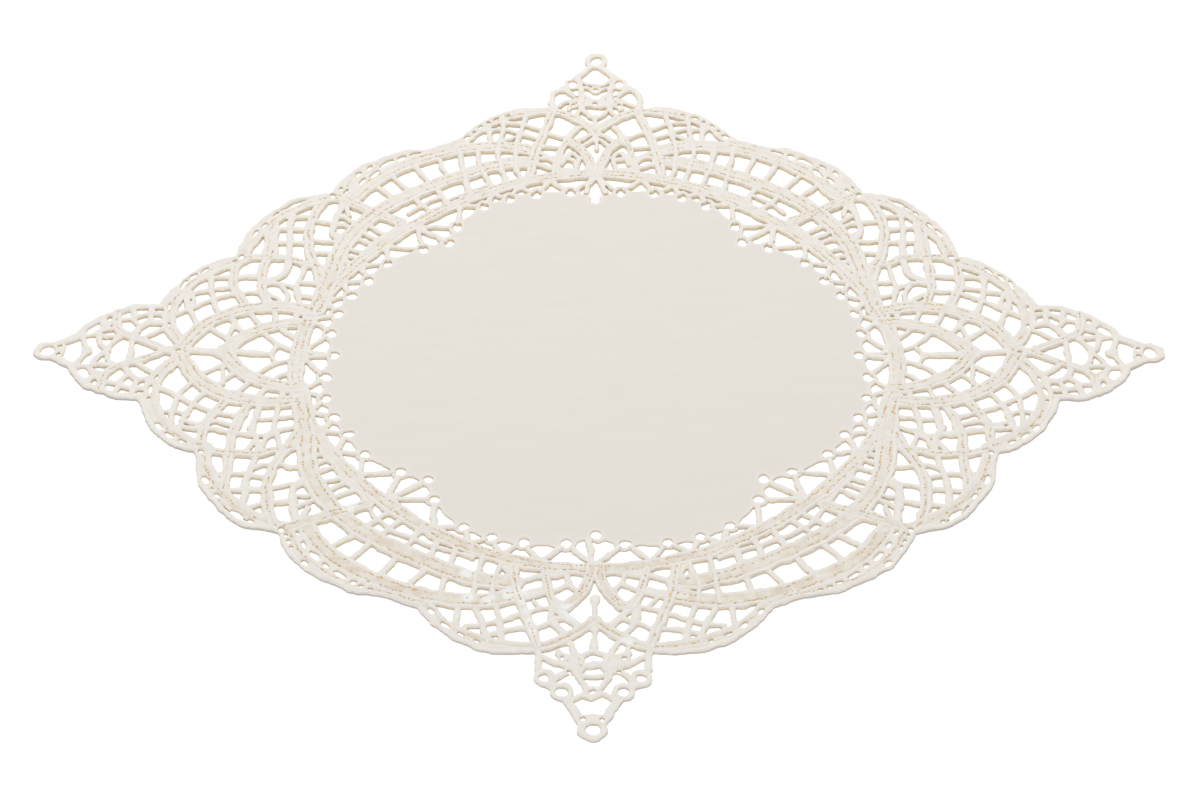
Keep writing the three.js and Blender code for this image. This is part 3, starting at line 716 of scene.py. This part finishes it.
def march(field, part):
    """Plan points and triangles of the region where a field is above zero, inside a window of the grid."""
    value, x, y = field[part], plan_x[part], plan_y[part]
    rows, columns = value.shape
    solid = value > 0

    def crossing(a, b):
        fall = np.where(value[a] == value[b], TINY, value[a] - value[b])
        share = np.clip(value[a] / fall, NEAREST_CROSSING, 1 - NEAREST_CROSSING)
        return np.stack([(x[a] + (x[b] - x[a]) * share).ravel(), (y[a] + (y[b] - y[a]) * share).ravel()], -1)

    whole, but_last, but_first = slice(None), slice(None, -1), slice(1, None)
    flat = crossing((whole, but_last), (whole, but_first))
    tall = crossing((but_last, whole), (but_first, whole))
    points = np.concatenate([np.stack([x.ravel(), y.ravel()], -1), flat, tall])
    node = np.arange(rows * columns).reshape(rows, columns)
    on_flat = node.size + np.arange(len(flat)).reshape(rows, columns - 1)
    on_tall = node.size + len(flat) + np.arange(len(tall)).reshape(rows - 1, columns)
    label = (node[:-1, :-1], node[:-1, 1:], node[1:, 1:], node[1:, :-1],
             on_flat[:-1], on_tall[:, 1:], on_flat[1:], on_tall[:, :-1])
    case = solid[:-1, :-1] + 2 * solid[:-1, 1:] + 4 * solid[1:, 1:] + 8 * solid[1:, :-1]
    triangles = []
    for number, shapes in SQUARE_CASES.items():
        chosen = case == number
        for shape in shapes:
            corner = [label[k][chosen] for k in shape]
            for second, third in zip(corner[1:], corner[2:]):
                triangles.append(np.stack([corner[0], second, third], -1))
    used, triangles = np.unique(np.concatenate(triangles), return_inverse=True)
    return points[used], triangles.reshape(-1, 3)


# %% Edges and areas of triangles, and values between grid points
def sides_of(triangles):
    """The three directed sides of each triangle, one after another."""
    return np.concatenate([triangles[:, (0, 1)], triangles[:, (1, 2)], triangles[:, (2, 0)]])


def edge_keys(edges, count):
    """One number for each edge between points, whichever way it runs."""
    return edges.min(1) * count + edges.max(1)


def open_edges(triangles):
    """The directed edges that only one triangle uses."""
    edges = sides_of(triangles)
    keys = edge_keys(edges, triangles.max() + 1)
    _, first, count = np.unique(keys, return_index=True, return_counts=True)
    return edges[first[count == 1]]


def twice_areas(points, triangles):
    """Twice each triangle's area on the plan, below zero where it runs clockwise."""
    a, b, c = (points[triangles[:, k]] for k in range(3))
    return (b[:, 0] - a[:, 0]) * (c[:, 1] - a[:, 1]) - (b[:, 1] - a[:, 1]) * (c[:, 0] - a[:, 0])


def square_metres(points, triangles):
    """The area that triangles cover on the plan."""
    return float(np.abs(twice_areas(points, triangles)).sum() / 2 * MM ** 2)


LAST_SQUARE = 1.001


def sample(field, points):
    """A field's value at plan points, between the grid's own values."""
    column = np.clip((points[:, 0] - grid_x[0]) / GRID, 0, len(grid_x) - LAST_SQUARE)
    row = np.clip((points[:, 1] - grid_y[0]) / GRID, 0, len(grid_y) - LAST_SQUARE)
    i, j = column.astype(int), row.astype(int)
    u, v = column - i, row - j
    near = field[j, i] * (1 - u) + field[j, i + 1] * u
    far = field[j + 1, i] * (1 - u) + field[j + 1, i + 1] * u
    return near * (1 - v) + far * v


# %% Underside
SAME_POINT = 1e-7


def flat_filling(points, edges):
    """Triangles that fill the plan inside directed edges, which have the inside on their left."""
    ids, local = np.unique(edges, return_inverse=True)
    local = local.reshape(-1, 2)
    corners = [Vector(p) for p in points[ids]]
    found, _, faces, origin, _, _ = delaunay_2d_cdt(corners, local.tolist(), [], 0, SAME_POINT)
    back = np.array([o[0] if o else -1 for o in origin])
    faces = np.array(faces)
    turned = twice_areas(np.array([tuple(p) for p in found]), faces) < 0
    faces[turned] = faces[turned][:, ::-1]
    count = len(found)
    wanted = np.unique(local[:, 0] * count + local[:, 1])
    sides = sides_of(faces)
    is_in = np.isin(back[sides[:, 0]] * count + back[sides[:, 1]], wanted)
    is_out = np.isin(back[sides[:, 1]] * count + back[sides[:, 0]], wanted)
    owner = np.tile(np.arange(len(faces)), 3)
    # A face at an edge is inside (1) or outside (-1), and its neighbours take the same state from it
    state = np.zeros(len(faces), int)
    state[owner[is_out]] = -1
    state[owner[is_in]] = 1
    keys = edge_keys(sides, count)
    order = np.argsort(keys, kind="stable")
    same = (keys[order][1:] == keys[order][:-1]) & ~(is_in | is_out)[order][1:]
    one, other = owner[order][:-1][same], owner[order][1:][same]
    before = None
    while before is None or (before != state).any():
        before = state.copy()
        for p, q in ((one, other), (other, one)):
            fresh = (state[q] == 0) & (state[p] != 0)
            state[q[fresh]] = state[p[fresh]]
    return ids[back[faces[state == 1]]]


# %% Closed sheet
def closed_sheet(name, points, tops, triangles, under=None):
    """A mesh from top points and triangles, with walls down to the table and a flat underside."""
    count = len(points)
    edges = open_edges(triangles)
    if under is None:
        under = flat_filling(points, edges)
    a, b = edges[:, 0], edges[:, 1]
    walls = np.concatenate([np.stack([a + count, b + count, b], -1), np.stack([a + count, b, a], -1)])
    faces = np.concatenate([triangles, walls, under[:, ::-1] + count])
    place = np.concatenate([np.column_stack([points, tops]), np.column_stack([points, np.zeros(count)])]) * MM
    used, faces = np.unique(faces, return_inverse=True)
    faces = faces.reshape(-1, 3)
    place = place[used]
    mesh = bpy.data.meshes.new(name)
    mesh.from_pydata(place.tolist(), [], faces.tolist(), shade_flat=False)
    # The rims at the top and bottom of the walls stay sharp
    ends = np.zeros(len(mesh.edges) * 2, int)
    mesh.edges.foreach_get("vertices", ends)
    place_of = np.full(2 * count, -1)
    place_of[used] = np.arange(len(used))
    rim = np.concatenate([place_of[edges], place_of[edges + count]])
    sharp = np.isin(edge_keys(ends.reshape(-1, 2), len(place)), edge_keys(rim, len(place)))
    mesh.attributes.new("sharp_edge", "BOOLEAN", "EDGE").data.foreach_set("value", sharp)
    mesh.validate()
    return placed(name, mesh), used % count, used >= count


def mark(piece, name, values):
    """Keeps a value at each point, for the finish to read."""
    piece.data.attributes.new(name, "FLOAT", "POINT").data.foreach_set("value", np.asarray(values, float))


# %% [markdown]
# The lace is cut into its four quarters, so that each piece is a smaller mesh. The seams run along the
# two axes, where the quarters share the same points. The walls of the outer edge get a greyer painted
# shadow than the walls of the gaps, standing for the shadow on the table there, so each point also says
# if it stands at the open table.

# %% Lace quarters
QUARTER_NAMES = ("lace_back_right", "lace_back_left", "lace_front_left", "lace_front_right")
# depth kept at a wall's low points, greatest depth kept, share of open table that makes a point outer
WALL_DEPTH, DEEPEST, AT_TABLE = -2.0, 3.0, 0.01
SWEEPS = 3


def open_table(free):
    """The free grid points that can be reached from the grid's rim without crossing the lace."""
    reached = np.zeros(free.shape, bool)
    reached[0] = free[0]
    ways = [(reached, free), (reached[::-1], free[::-1])]
    ways += [(reached.T, free.T), (reached.T[::-1], free.T[::-1])]
    for swept, ground in ways * SWEEPS:
        for k in range(1, len(ground)):
            swept[k] |= swept[k - 1] & ground[k]
    return reached


beyond = open_table(inside <= 0).astype(float)
halves_x = {1: slice(HALF_COLUMNS, None), -1: slice(None, HALF_COLUMNS + 1)}
halves_y = {1: slice(HALF_ROWS, None), -1: slice(None, HALF_ROWS + 1)}
lace_quarters, quarter_areas = [], []
for name, turn in zip(QUARTER_NAMES, QUARTERS):
    points, triangles = march(inside, (halves_y[turn[1]], halves_x[turn[0]]))
    piece, source, low = closed_sheet(name, points, sample(height, points), triangles)
    mark(piece, "depth", np.where(low, WALL_DEPTH, np.clip(sample(inside, points), 0, DEEPEST)[source]))
    # the row line gets painted pinhole shade in the finish, the pale spots painted highlights
    for label, field in (("tape", tape_middle), ("row", shaded_row_line), ("pale", pale)):
        mark(piece, label, np.where(low, 0.0, sample(field, points)[source]))
    # points at the open table get a greyer painted shadow on their walls in the finish
    mark(piece, "outer", sample(beyond, points)[source] > AT_TABLE)
    mark(piece, "across", sample(across, points)[source])
    mark(piece, "along", sample(along_thread, points)[source])
    lace_quarters.append(piece)
    quarter_areas.append(square_metres(points, triangles))
    print(name, len(piece.data.polygons), "triangles,", round(quarter_areas[-1], 4), "square metres")

# %% [markdown]
# The linen is cut to a round through its worked holes, and its edge swells round each of them. At the
# back axis a notch opens the edge. As with the lace, the edge is a field on the grid, so that the rims
# of the holes melt into the round.

# %% Linen edge
CLOTH_CROWN, CLOTH_ROUND, CLOTH_EDGE_CROWN, EDGE_BEYOND_HOLES = 0.42, 1.2, 1.2, 1.2
NOTCH_BEYOND, NOTCH_RADIUS, RIM_MELT, RIM_WINDOW = 7.0, 4.6, 4.0, 14.0
# height, depth and width of the hem's swelling
HEM = (0.1, 1.4, 1.1)
# height and wavelength of the linen's slow and quick unevenness
SLOW, QUICK = (0.05, 60), (0.02, 14)
# y, height of the linen's edge as a share of the lace's
CLOTH_EDGE_SHARES = ((-165, 0.5), (-120, 0.8), (150, 0.95))
hole_spots = [polar(*row) * turn for turn in QUARTERS for row in EDGE_HOLES]
hole_spots = blocked(np.unique(np.round(hole_spots, 3) + 0.0, axis=0))
cloth_middle = blocked(np.zeros(2))
cloth_turn = np.arctan2(lace_x - cloth_middle[0], lace_y - cloth_middle[1])
cloth_reach = np.hypot(lace_x - cloth_middle[0], lace_y - cloth_middle[1])
hole_turns = np.arctan2(*(hole_spots - cloth_middle).T)
hole_reaches = np.hypot(*(hole_spots - cloth_middle).T)
round_reach = np.interp(cloth_turn, hole_turns, hole_reaches, period=2 * math.pi)
cloth_inside = round_reach + EDGE_BEYOND_HOLES - cloth_reach


def from_hole(spot):
    """The grid window round an edge hole, and each point's distance from its middle there."""
    area = window(spot - RIM_WINDOW, spot + RIM_WINDOW)
    stretch = front_to_back(HOLE_STRETCH, spot[1])
    return area, np.hypot(lace_x[area] - spot[0], (lace_y[area] - spot[1]) / stretch)


for spot in hole_spots:
    area, away = from_hole(spot)
    cloth_inside[area] = melt(cloth_inside[area], EDGE_HOLE_RADIUS + EDGE_RIM - away, RIM_MELT)
notch = blocked(np.array([0, EDGE_HOLES[0][1] + NOTCH_BEYOND]))
for spot, radius in [(spot, EDGE_HOLE_RADIUS) for spot in hole_spots] + [(notch, NOTCH_RADIUS)]:
    area, away = from_hole(spot)
    cloth_inside[area] = np.minimum(cloth_inside[area], away - radius)
cloth_height = CLOTH_CROWN + HEM[0] * ridge(cloth_inside, *HEM[1:])
cloth_height = cloth_height + soft_noise(21, *SLOW) + soft_noise(22, *QUICK)
cloth_height = np.minimum(cloth_height, rounded(cloth_inside, CLOTH_ROUND, CLOTH_EDGE_CROWN))
cloth_height = front_to_back(CLOTH_EDGE_SHARES, plan_y) * edge_height + cloth_height
print(len(hole_spots), "edge holes round the linen")

# %% [markdown]
# The round of linen is smooth, so it needs few points in the middle and many along its worked edge.
# The points are rings that follow the edge, and a loose sprinkle inside, joined by a Delaunay
# triangulation.

# %% Linen round
# depth of a ring of points, and the step from one point that is kept to the next
POINT_RINGS = ((0.5, 1), (1.1, 1), (1.8, 2), (2.8, 2), (4.2, 3))
SPRINKLE_COUNT, SPRINKLE_LOOSE, SPRINKLE_DEPTH, DEEPEST_LINEN = 140, 0.6, 5.4, 8.0
SPRINKLE_X, SPRINKLE_Y = (-166, 166), (-170, 162)
whole_grid = (slice(None), slice(None))
edge_points, edge_triangles = march(cloth_inside, whole_grid)
ids, edge_lines = np.unique(open_edges(edge_triangles), return_inverse=True)
edge_lines = edge_lines.reshape(-1, 2)
outline = edge_points[ids]
rings = [outline]
for ring_depth, keep in POINT_RINGS:
    ring_points, ring_triangles = march(cloth_inside - ring_depth, whole_grid)
    rings.append(ring_points[np.unique(open_edges(ring_triangles))][::keep])
loose_shape = (2, SPRINKLE_COUNT, SPRINKLE_COUNT)
loose_x, loose_y = np.random.default_rng(5).uniform(-SPRINKLE_LOOSE, SPRINKLE_LOOSE, loose_shape)
sprinkle_x = np.linspace(*SPRINKLE_X, SPRINKLE_COUNT)[None] + loose_x
sprinkle_y = np.linspace(*SPRINKLE_Y, SPRINKLE_COUNT)[:, None] + loose_y
sprinkle = np.stack([sprinkle_x, sprinkle_y], -1).reshape(-1, 2)
rings.append(sprinkle[sample(cloth_inside, sprinkle) > SPRINKLE_DEPTH])
cloth_points = np.concatenate(rings)
corners = [Vector(p) for p in cloth_points]
_, _, faces, origin, _, _ = delaunay_2d_cdt(corners, edge_lines.tolist(), [], 0, SAME_POINT)
faces = np.array([o[0] for o in origin])[np.array(faces)]
turned = twice_areas(cloth_points, faces) < 0
faces[turned] = faces[turned][:, ::-1]
# A face between three points of the outline may lie in a hole or outside the edge
filled = {tuple(sorted(face)) for face in flat_filling(outline, edge_lines).tolist()}
middle_inside = sample(cloth_inside, cloth_points[faces].mean(1)) > 0
on_edge = (faces < len(outline)).all(1)
in_filling = np.array([tuple(sorted(face)) in filled for face in faces.tolist()])
faces = faces[~on_edge | in_filling | middle_inside]
cloth_tops = sample(cloth_height, cloth_points)
cloth, source, low = closed_sheet("linen_round", cloth_points, cloth_tops, faces, under=faces)
cloth_depth = np.clip(sample(cloth_inside, cloth_points), 0, DEEPEST_LINEN)[source]
mark(cloth, "depth", np.where(low, WALL_DEPTH, cloth_depth))

# %% [markdown]
# Rows of small pinholes run along both sides of the tapes, and their shade is painted as small brown
# dashes. A row is only a line here, broken where another tape or bar lies over it or a hole opens.

# %% Rows of painted pinhole shade
COVERED, ROW_FROM_EDGE, ROW_FROM_AXIS = 0.2, 1.2, 0.5
row_points, row_edges = [], []
for turn in QUARTERS:
    for name, width, layer, rows, _ in TAPES:
        path = blocked(tape_paths[name] * turn)
        run = np.gradient(path, axis=0)
        run /= np.maximum(np.hypot(*run.T), TINY)[:, None]
        sideways = np.stack([-run[:, 1], run[:, 0]], -1) * width
        for share in sorted({-ROW_SHARE[rows], ROW_SHARE[rows]}):
            line = path + sideways * share
            own = TAPE_CROWN + LAYER_HEIGHT * layer
            clear = np.abs(sample(relief, line) - own) < COVERED
            clear &= sample(inside, line) > ROW_FROM_EDGE
            clear &= (line * turn > ROW_FROM_AXIS).all(1)
            changes = np.flatnonzero(np.diff(np.concatenate([[0], clear, [0]])))
            for first, last in zip(changes[::2], changes[1::2]):
                if last - first > 1:
                    start = len(row_points)
                    row_points.extend(np.column_stack([line, sample(height, line)])[first:last] * MM)
                    row_edges.extend((k, k + 1) for k in range(start, len(row_points) - 1))
row_mesh = bpy.data.meshes.new("pinhole_rows")
row_mesh.from_pydata(row_points, row_edges, [])
pinhole_rows = placed("pinhole_rows", row_mesh)
print(len(row_edges), "steps of stitched line")

# %% [markdown]
# Each finish is a material made of nodes. They read Object coordinates, or the values that were kept
# at the points of the mesh, so a pattern stays on the thread when the piece is seen from any side.
# Two small classes add the nodes and keep the cells below short. The first serves any tree of nodes,
# the tree that lays the painted pinhole shade too, and the second adds the kinds of node that the finishes
# use.


# %% Node trees
class Nodes:
    """A tree of nodes, and short ways to add to it."""

    def __init__(self, tree):
        self.tree = tree

    def fill(self, node, inputs):
        """Sets inputs of a node to values, or links them to a socket or to a node's first live output."""
        for name, value in dict(inputs).items():
            if isinstance(value, bpy.types.Node):
                value = next(out for out in value.outputs if out.enabled)
            if isinstance(value, bpy.types.NodeSocket):
                self.tree.links.new(value, node.inputs[name])
            else:
                node.inputs[name].default_value = value

    def add(self, kind, inputs=(), **settings):
        """A new node with its settings, and its inputs by name or number."""
        node = self.tree.nodes.new(kind)
        for name, setting in settings.items():
            setattr(node, name, setting)
        self.fill(node, inputs)
        return node


# %% Finishes
class Finish(Nodes):
    """A material's nodes."""

    def __init__(self, name):
        self.material = bpy.data.materials.new(name)
        self.material.use_nodes = True
        super().__init__(self.material.node_tree)
        self.shader = self.tree.nodes["Principled BSDF"]
        self.place = self.add("ShaderNodeTexCoord").outputs["Object"]

    def kept(self, name):
        """A value that was kept at the points of the mesh."""
        return self.add("ShaderNodeAttribute", attribute_name=name).outputs["Fac"]

    def noise(self, scale, detail=3.0, place=None):
        inputs = {"Vector": place or self.place, "Scale": scale, "Detail": detail}
        return self.add("ShaderNodeTexNoise", inputs).outputs["Fac"]

    def mixed(self, share, *colours):
        first, second = ((*c, 1.0) if isinstance(c, tuple) else c for c in colours)
        return self.add("ShaderNodeMix", {0: share, 6: first, 7: second}, data_type="RGBA").outputs[2]

    def mapped(self, value, from_low, from_high, to_low=0.0, to_high=1.0):
        inputs = enumerate((value, from_low, from_high, to_low, to_high))
        return self.add("ShaderNodeMapRange", inputs, interpolation_type="SMOOTHSTEP").outputs[0]

    def sums(self, operation, *values):
        return self.add("ShaderNodeMath", enumerate(values), operation=operation).outputs[0]

    def bump(self, high, strength, distance):
        return self.add("ShaderNodeBump", {"Height": high, "Strength": strength, "Distance": distance})

    def dress(self, colour, roughness, specular, **others):
        """Gives the shader its colour and its gloss."""
        named = {"Base Color": colour, "Roughness": roughness, "Specular IOR Level": specular}
        self.fill(self.shader, {**named, **others})
        print(self.material.name, len(self.tree.nodes), "nodes")


# %% [markdown]
# The lace is ecru cotton. Its tapes are a little warmer than its bars, in streaks. Painted shade darkens
# the rows of pinholes along the tapes, paints the walls of the gaps a warm brown and spreads from them in
# patches onto the tops near their edges, and a greyer painted shadow lies on the walls of the outer edge.
# A few listed places are painted near white as highlights. Bars are twisted thread, so a slanted wave
# along each stroke gives the twist as bump, over a fine grain.

# %% Lace finish
PLAIT_PITCH, PLAIT_WIDTH, PLAIT_HEIGHT = 1.7, 1.5, 0.25
# the first two are the thread's own colours, the third painted shade for the rows of pinholes along the tapes
THREAD, TAPE, ROW_SHADE = (0.53, 0.507, 0.474), (0.465, 0.415, 0.343), (0.46, 0.37, 0.25)
# the first is a random paler tone of the thread, the second the near-white colour of the painted highlights
PALE_THREAD, GLINT_WHITE = (0.558, 0.546, 0.526), (0.58, 0.575, 0.56)
# painted shade on the walls of the gaps, and a greyer painted shadow on the walls of the outer edge
WALL_SHADE, OUTER_WALL_SHADE = (0.73, 0.605, 0.405), (0.56, 0.49, 0.42)
# depths between which the walls' painted shade gives way to the top's colour, and the shares of it there
WALL_FADE = (-0.5, -0.02, 1.0, 0.0)
lace = Finish("ecru_lace")
depth_of = lace.kept("depth")
streaks = lace.mapped(lace.noise(190.0, 4.0), 0.36, 0.62, 0.35, 1.0)
colour = lace.mixed(lace.sums("MULTIPLY", lace.kept("tape"), streaks), THREAD, TAPE)
colour = lace.mixed(lace.mapped(lace.noise(160.0), 0.35, 0.7, 0.0, 0.35), colour, PALE_THREAD)
# painted shade: the rows of pinholes along the tapes are darkened
colour = lace.mixed(lace.mapped(lace.kept("row"), 0.2, 1.0, 0.0, 0.28), colour, ROW_SHADE)
# painted shade for the walls, greyer where the walls stand at the open table
wall_shade = lace.mixed(lace.kept("outer"), WALL_SHADE, OUTER_WALL_SHADE)
# painted shade: a patchy noise spreads the walls' painted shade onto the tops near their edges
edge_shade_patches = lace.mapped(lace.noise(230.0, 4.0), 0.46, 0.68, 0.1, 0.4)
near_edge = lace.mapped(depth_of, 0.1, 1.1, 1.0, 0.0)
colour = lace.mixed(lace.sums("MULTIPLY", edge_shade_patches, near_edge), colour, wall_shade)
# painted highlights: near-white glints at the listed places
colour = lace.mixed(lace.mapped(lace.kept("pale"), 0.1, 0.8, 0.0, 0.85), colour, GLINT_WHITE)
# painted shade: the walls themselves take the painted shade colour in full
colour = lace.mixed(lace.mapped(depth_of, *WALL_FADE), colour, wall_shade)
slant = lace.sums("MULTIPLY", lace.kept("across"), 2 * math.pi / PLAIT_WIDTH)
twist = lace.sums("SINE", lace.sums("MULTIPLY_ADD", lace.kept("along"), 2 * math.pi / PLAIT_PITCH, slant))
grain = lace.bump(lace.sums("MULTIPLY_ADD", twist, PLAIT_HEIGHT, lace.noise(900.0, 4.0)), 0.3, 0.0005)
lace.fill(lace.shader, {"Sheen Weight": 0.15})
lace.dress(colour, roughness=0.9, specular=0.15, Normal=grain)

# %% [markdown]
# The linen is a plain weave, so fine that from a step away only its slubs show: long faint streaks
# across the cloth. They are a stretched noise in the colour. Two crossed waves give the threads as a
# very low bump, and the buttonholed edge takes the colour of the lace thread.

# %% Linen finish
LINEN, LINEN_SLUB = (0.490, 0.466, 0.428), (0.496, 0.472, 0.435)
SLUB_STRETCH = (1.0, 7.0, 1.0)
linen = Finish("ecru_linen")
depth_of = linen.kept("depth")
stretched = linen.add("ShaderNodeMapping", {"Vector": linen.place, "Scale": SLUB_STRETCH})
slub = linen.noise(26.0, 4.0, stretched.outputs["Vector"])
colour = linen.mixed(linen.mapped(slub, 0.35, 0.65), LINEN, LINEN_SLUB)
colour = linen.mixed(linen.mapped(depth_of, 0.8, 2.4, 0.7, 0.0), colour, THREAD)
# painted shade: the linen's walls take the same painted shade as the lace's
colour = linen.mixed(linen.mapped(depth_of, *WALL_FADE), colour, WALL_SHADE)
weave = {"Vector": linen.place, "Scale": 260.0, "Distortion": 1.2, "Detail": 2.0}
threads = []
for direction in "XY":
    wave = linen.add("ShaderNodeTexWave", weave, wave_type="BANDS", bands_direction=direction)
    threads.append(wave.outputs["Fac"])
woven = linen.bump(linen.sums("ADD", *threads), 0.04, 0.0002)
linen.dress(colour, roughness=0.92, specular=0.12, Normal=woven)

# %% [markdown]
# The dashes along the rows are painted shade, the dark of the pinholes, in a brown that varies from dash to
# dash.

# %% Finish of the painted pinhole shade
PINHOLE_SHADE, PALE_PINHOLE_SHADE = (0.42, 0.295, 0.14), (0.50, 0.38, 0.22)
dash_shade = Finish("pinhole_shade_dashes")
# painted shade: the dashes take a brown that stands for the dark inside the pinholes
dash_shade.dress(dash_shade.mixed(dash_shade.mapped(dash_shade.noise(260.0), 0.3, 0.7), PINHOLE_SHADE, PALE_PINHOLE_SHADE), roughness=0.85, specular=0.15)

# %% [markdown]
# Geometry Nodes lays the painted pinhole shade: one small flat brown dash is set on points along each
# row, turned to follow it, with a seeded choice of size and place. Some are left out one by one, and a
# noise leaves out whole runs.

# %% Tree of the painted shade dashes
# name, kind and value of an input
INPUTS = (("Pitch", "Float", 0.0024), ("Stitch length", "Float", 0.0013), ("Stitch width", "Float", 0.00105),
          ("Share left out", "Float", 0.25), ("Seed", "Int", 7), ("Finish", "Material", dash_shade.material))
SMALLEST, LARGEST = (0.6, 0.7, 0.8), (2.2, 1.4, 1.2)
MOST_SHIFT, STITCH_HEIGHT = (0.0007, 0.0006, 0.0), 0.0003
WORN_RUN_SCALE, WORN_ABOVE = 70.0, 0.54
tree = bpy.data.node_groups.new("shade_dashes_on_rows", "GeometryNodeTree")
tree.interface.new_socket("Rows", in_out="INPUT", socket_type="NodeSocketGeometry")
inputs = {}
for label, kind, value in INPUTS:
    socket = tree.interface.new_socket(label, in_out="INPUT", socket_type="NodeSocket" + kind)
    inputs[socket.identifier] = value
tree.interface.new_socket("Stitches", in_out="OUTPUT", socket_type="NodeSocketGeometry")

laying = Nodes(tree)
given = laying.add("NodeGroupInput").outputs
curve = laying.add("GeometryNodeMeshToCurve", {"Mesh": given["Rows"]})
spots = laying.add("GeometryNodeCurveToPoints", {"Curve": curve, "Length": given["Pitch"]}, mode="LENGTH")
moves = {"Min": tuple(-v for v in MOST_SHIFT), "Max": MOST_SHIFT, "Seed": given["Seed"]}
shift = laying.add("FunctionNodeRandomValue", moves, data_type="FLOAT_VECTOR")
nudged = laying.add("GeometryNodeSetPosition", {"Geometry": spots, "Offset": shift})
chances = {"Probability": given["Share left out"], "Seed": given["Seed"]}
skipped = laying.add("FunctionNodeRandomValue", chances, data_type="BOOLEAN")
wear = laying.add("ShaderNodeTexNoise", {"Scale": WORN_RUN_SCALE, "Detail": 2.0})
worn_away = laying.add("FunctionNodeCompare", {"A": wear, "B": WORN_ABOVE})
missing = laying.add("FunctionNodeBooleanMath", {0: worn_away, 1: skipped}, operation="OR")
there = laying.add("GeometryNodeDeleteGeometry", {"Geometry": nudged, "Selection": missing})
bead = laying.add("GeometryNodeMeshUVSphere", {"Segments": 6, "Rings": 4, "Radius": 0.5})
measures = {"X": given["Stitch length"], "Y": given["Stitch width"], "Z": STITCH_HEIGHT}
flat_bead = {"Geometry": bead, "Scale": laying.add("ShaderNodeCombineXYZ", measures)}
stitch = laying.add("GeometryNodeTransform", flat_bead)
sizes = {"Min": SMALLEST, "Max": LARGEST, "Seed": given["Seed"]}
size = laying.add("FunctionNodeRandomValue", sizes, data_type="FLOAT_VECTOR")
turned = laying.add("FunctionNodeAlignRotationToVector", {"Vector": spots.outputs["Tangent"]}, axis="X")
parts = {"Points": there, "Instance": stitch, "Rotation": turned, "Scale": size}
set_down = laying.add("GeometryNodeInstanceOnPoints", parts)
sewn = laying.add("GeometryNodeRealizeInstances", {"Geometry": set_down})
dressed = laying.add("GeometryNodeSetMaterial", {"Geometry": sewn, "Material": given["Finish"]})
laying.add("NodeGroupOutput", {"Stitches": dressed})
print("stitch tree with", len(tree.nodes), "nodes")

# %% Painted shade dashes
modifier = pinhole_rows.modifiers.new("shade_dashes", "NODES")
modifier.node_group = tree
for identifier, value in inputs.items():
    modifier[identifier] = value
bpy.context.view_layer.update()
made = bpy.data.meshes.new_from_object(pinhole_rows.evaluated_get(bpy.context.evaluated_depsgraph_get()))
pinhole_rows.modifiers.remove(modifier)
bpy.data.objects.remove(pinhole_rows)
made.polygons.foreach_set("use_smooth", np.ones(len(made.polygons), bool))
shade_dashes = placed("tape_pinhole_shade", made)
print("shade_dashes", len(made.polygons), "faces")

# %% [markdown]
# Every piece rides on the one body, and the parts of model.glb that the pieces stand for are hidden. A
# lace quarter is a bent band with openings, and its area was measured on its own plan.

for piece in lace_quarters:
    piece.data.materials.append(lace.material)
cloth.data.materials.append(linen.material)
for piece in (*lace_quarters, shade_dashes):
    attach(piece, "root")
    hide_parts("lace_border")
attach(cloth, "root")
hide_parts("centre_cloth")
print(len(lace_quarters) + 2, "pieces declared")

# %% [markdown]
# The photograph was taken on a white sweep under broad soft light, so that the holes of the lace show
# almost pure white. A pale floor under a large soft light from behind gives the same. A weak low light
# from the front keeps the walls that face the camera from going dark.

# %% Floor and light
FLOOR_HALF, FLOOR_BELOW, SKY = 4.0, 0.0002, 0.8
WHITE, PALE_WHITE = (0.77, 0.77, 0.77), (0.79, 0.79, 0.79)
floor_mesh = bpy.data.meshes.new("floor")
floor_turns = ((-1, -1), (1, -1), (1, 1), (-1, 1))
floor_corners = [(x * FLOOR_HALF, y * FLOOR_HALF, -FLOOR_BELOW) for x, y in floor_turns]
floor_mesh.from_pydata(floor_corners, [], [(0, 1, 2, 3)])
floor = placed("floor", floor_mesh)
sweep = Finish("white_sweep")
white = sweep.mixed(sweep.mapped(sweep.noise(3.0), 0.3, 0.7), WHITE, PALE_WHITE)
sweep.dress(white, roughness=0.9, specular=0.0)
floor_mesh.materials.append(sweep.material)

scene.world = scene.world or bpy.data.worlds.new("world")
scene.world.use_nodes = True
background = scene.world.node_tree.nodes["Background"]
background.inputs["Color"].default_value = (1.0, 1.0, 1.0, 1.0)
background.inputs["Strength"].default_value = SKY


def soft_light(name, size, power, place):
    """A round soft light that faces the middle of the table."""
    data = bpy.data.lights.new(name, "AREA")
    data.shape = "DISK"
    data.size = size
    data.energy = power
    light = placed(name, data)
    light.location = place
    light.rotation_euler = (-Vector(place)).to_track_quat("-Z", "Y").to_euler()
    print(name, power, "W")


soft_light("soft_key", size=2.0, power=69.5, place=(-0.2, 1.25, 2.4))
soft_light("low_fill", size=1.6, power=10.0, place=(0.0, -2.2, 0.75))
scene.view_settings.view_transform = "Standard"
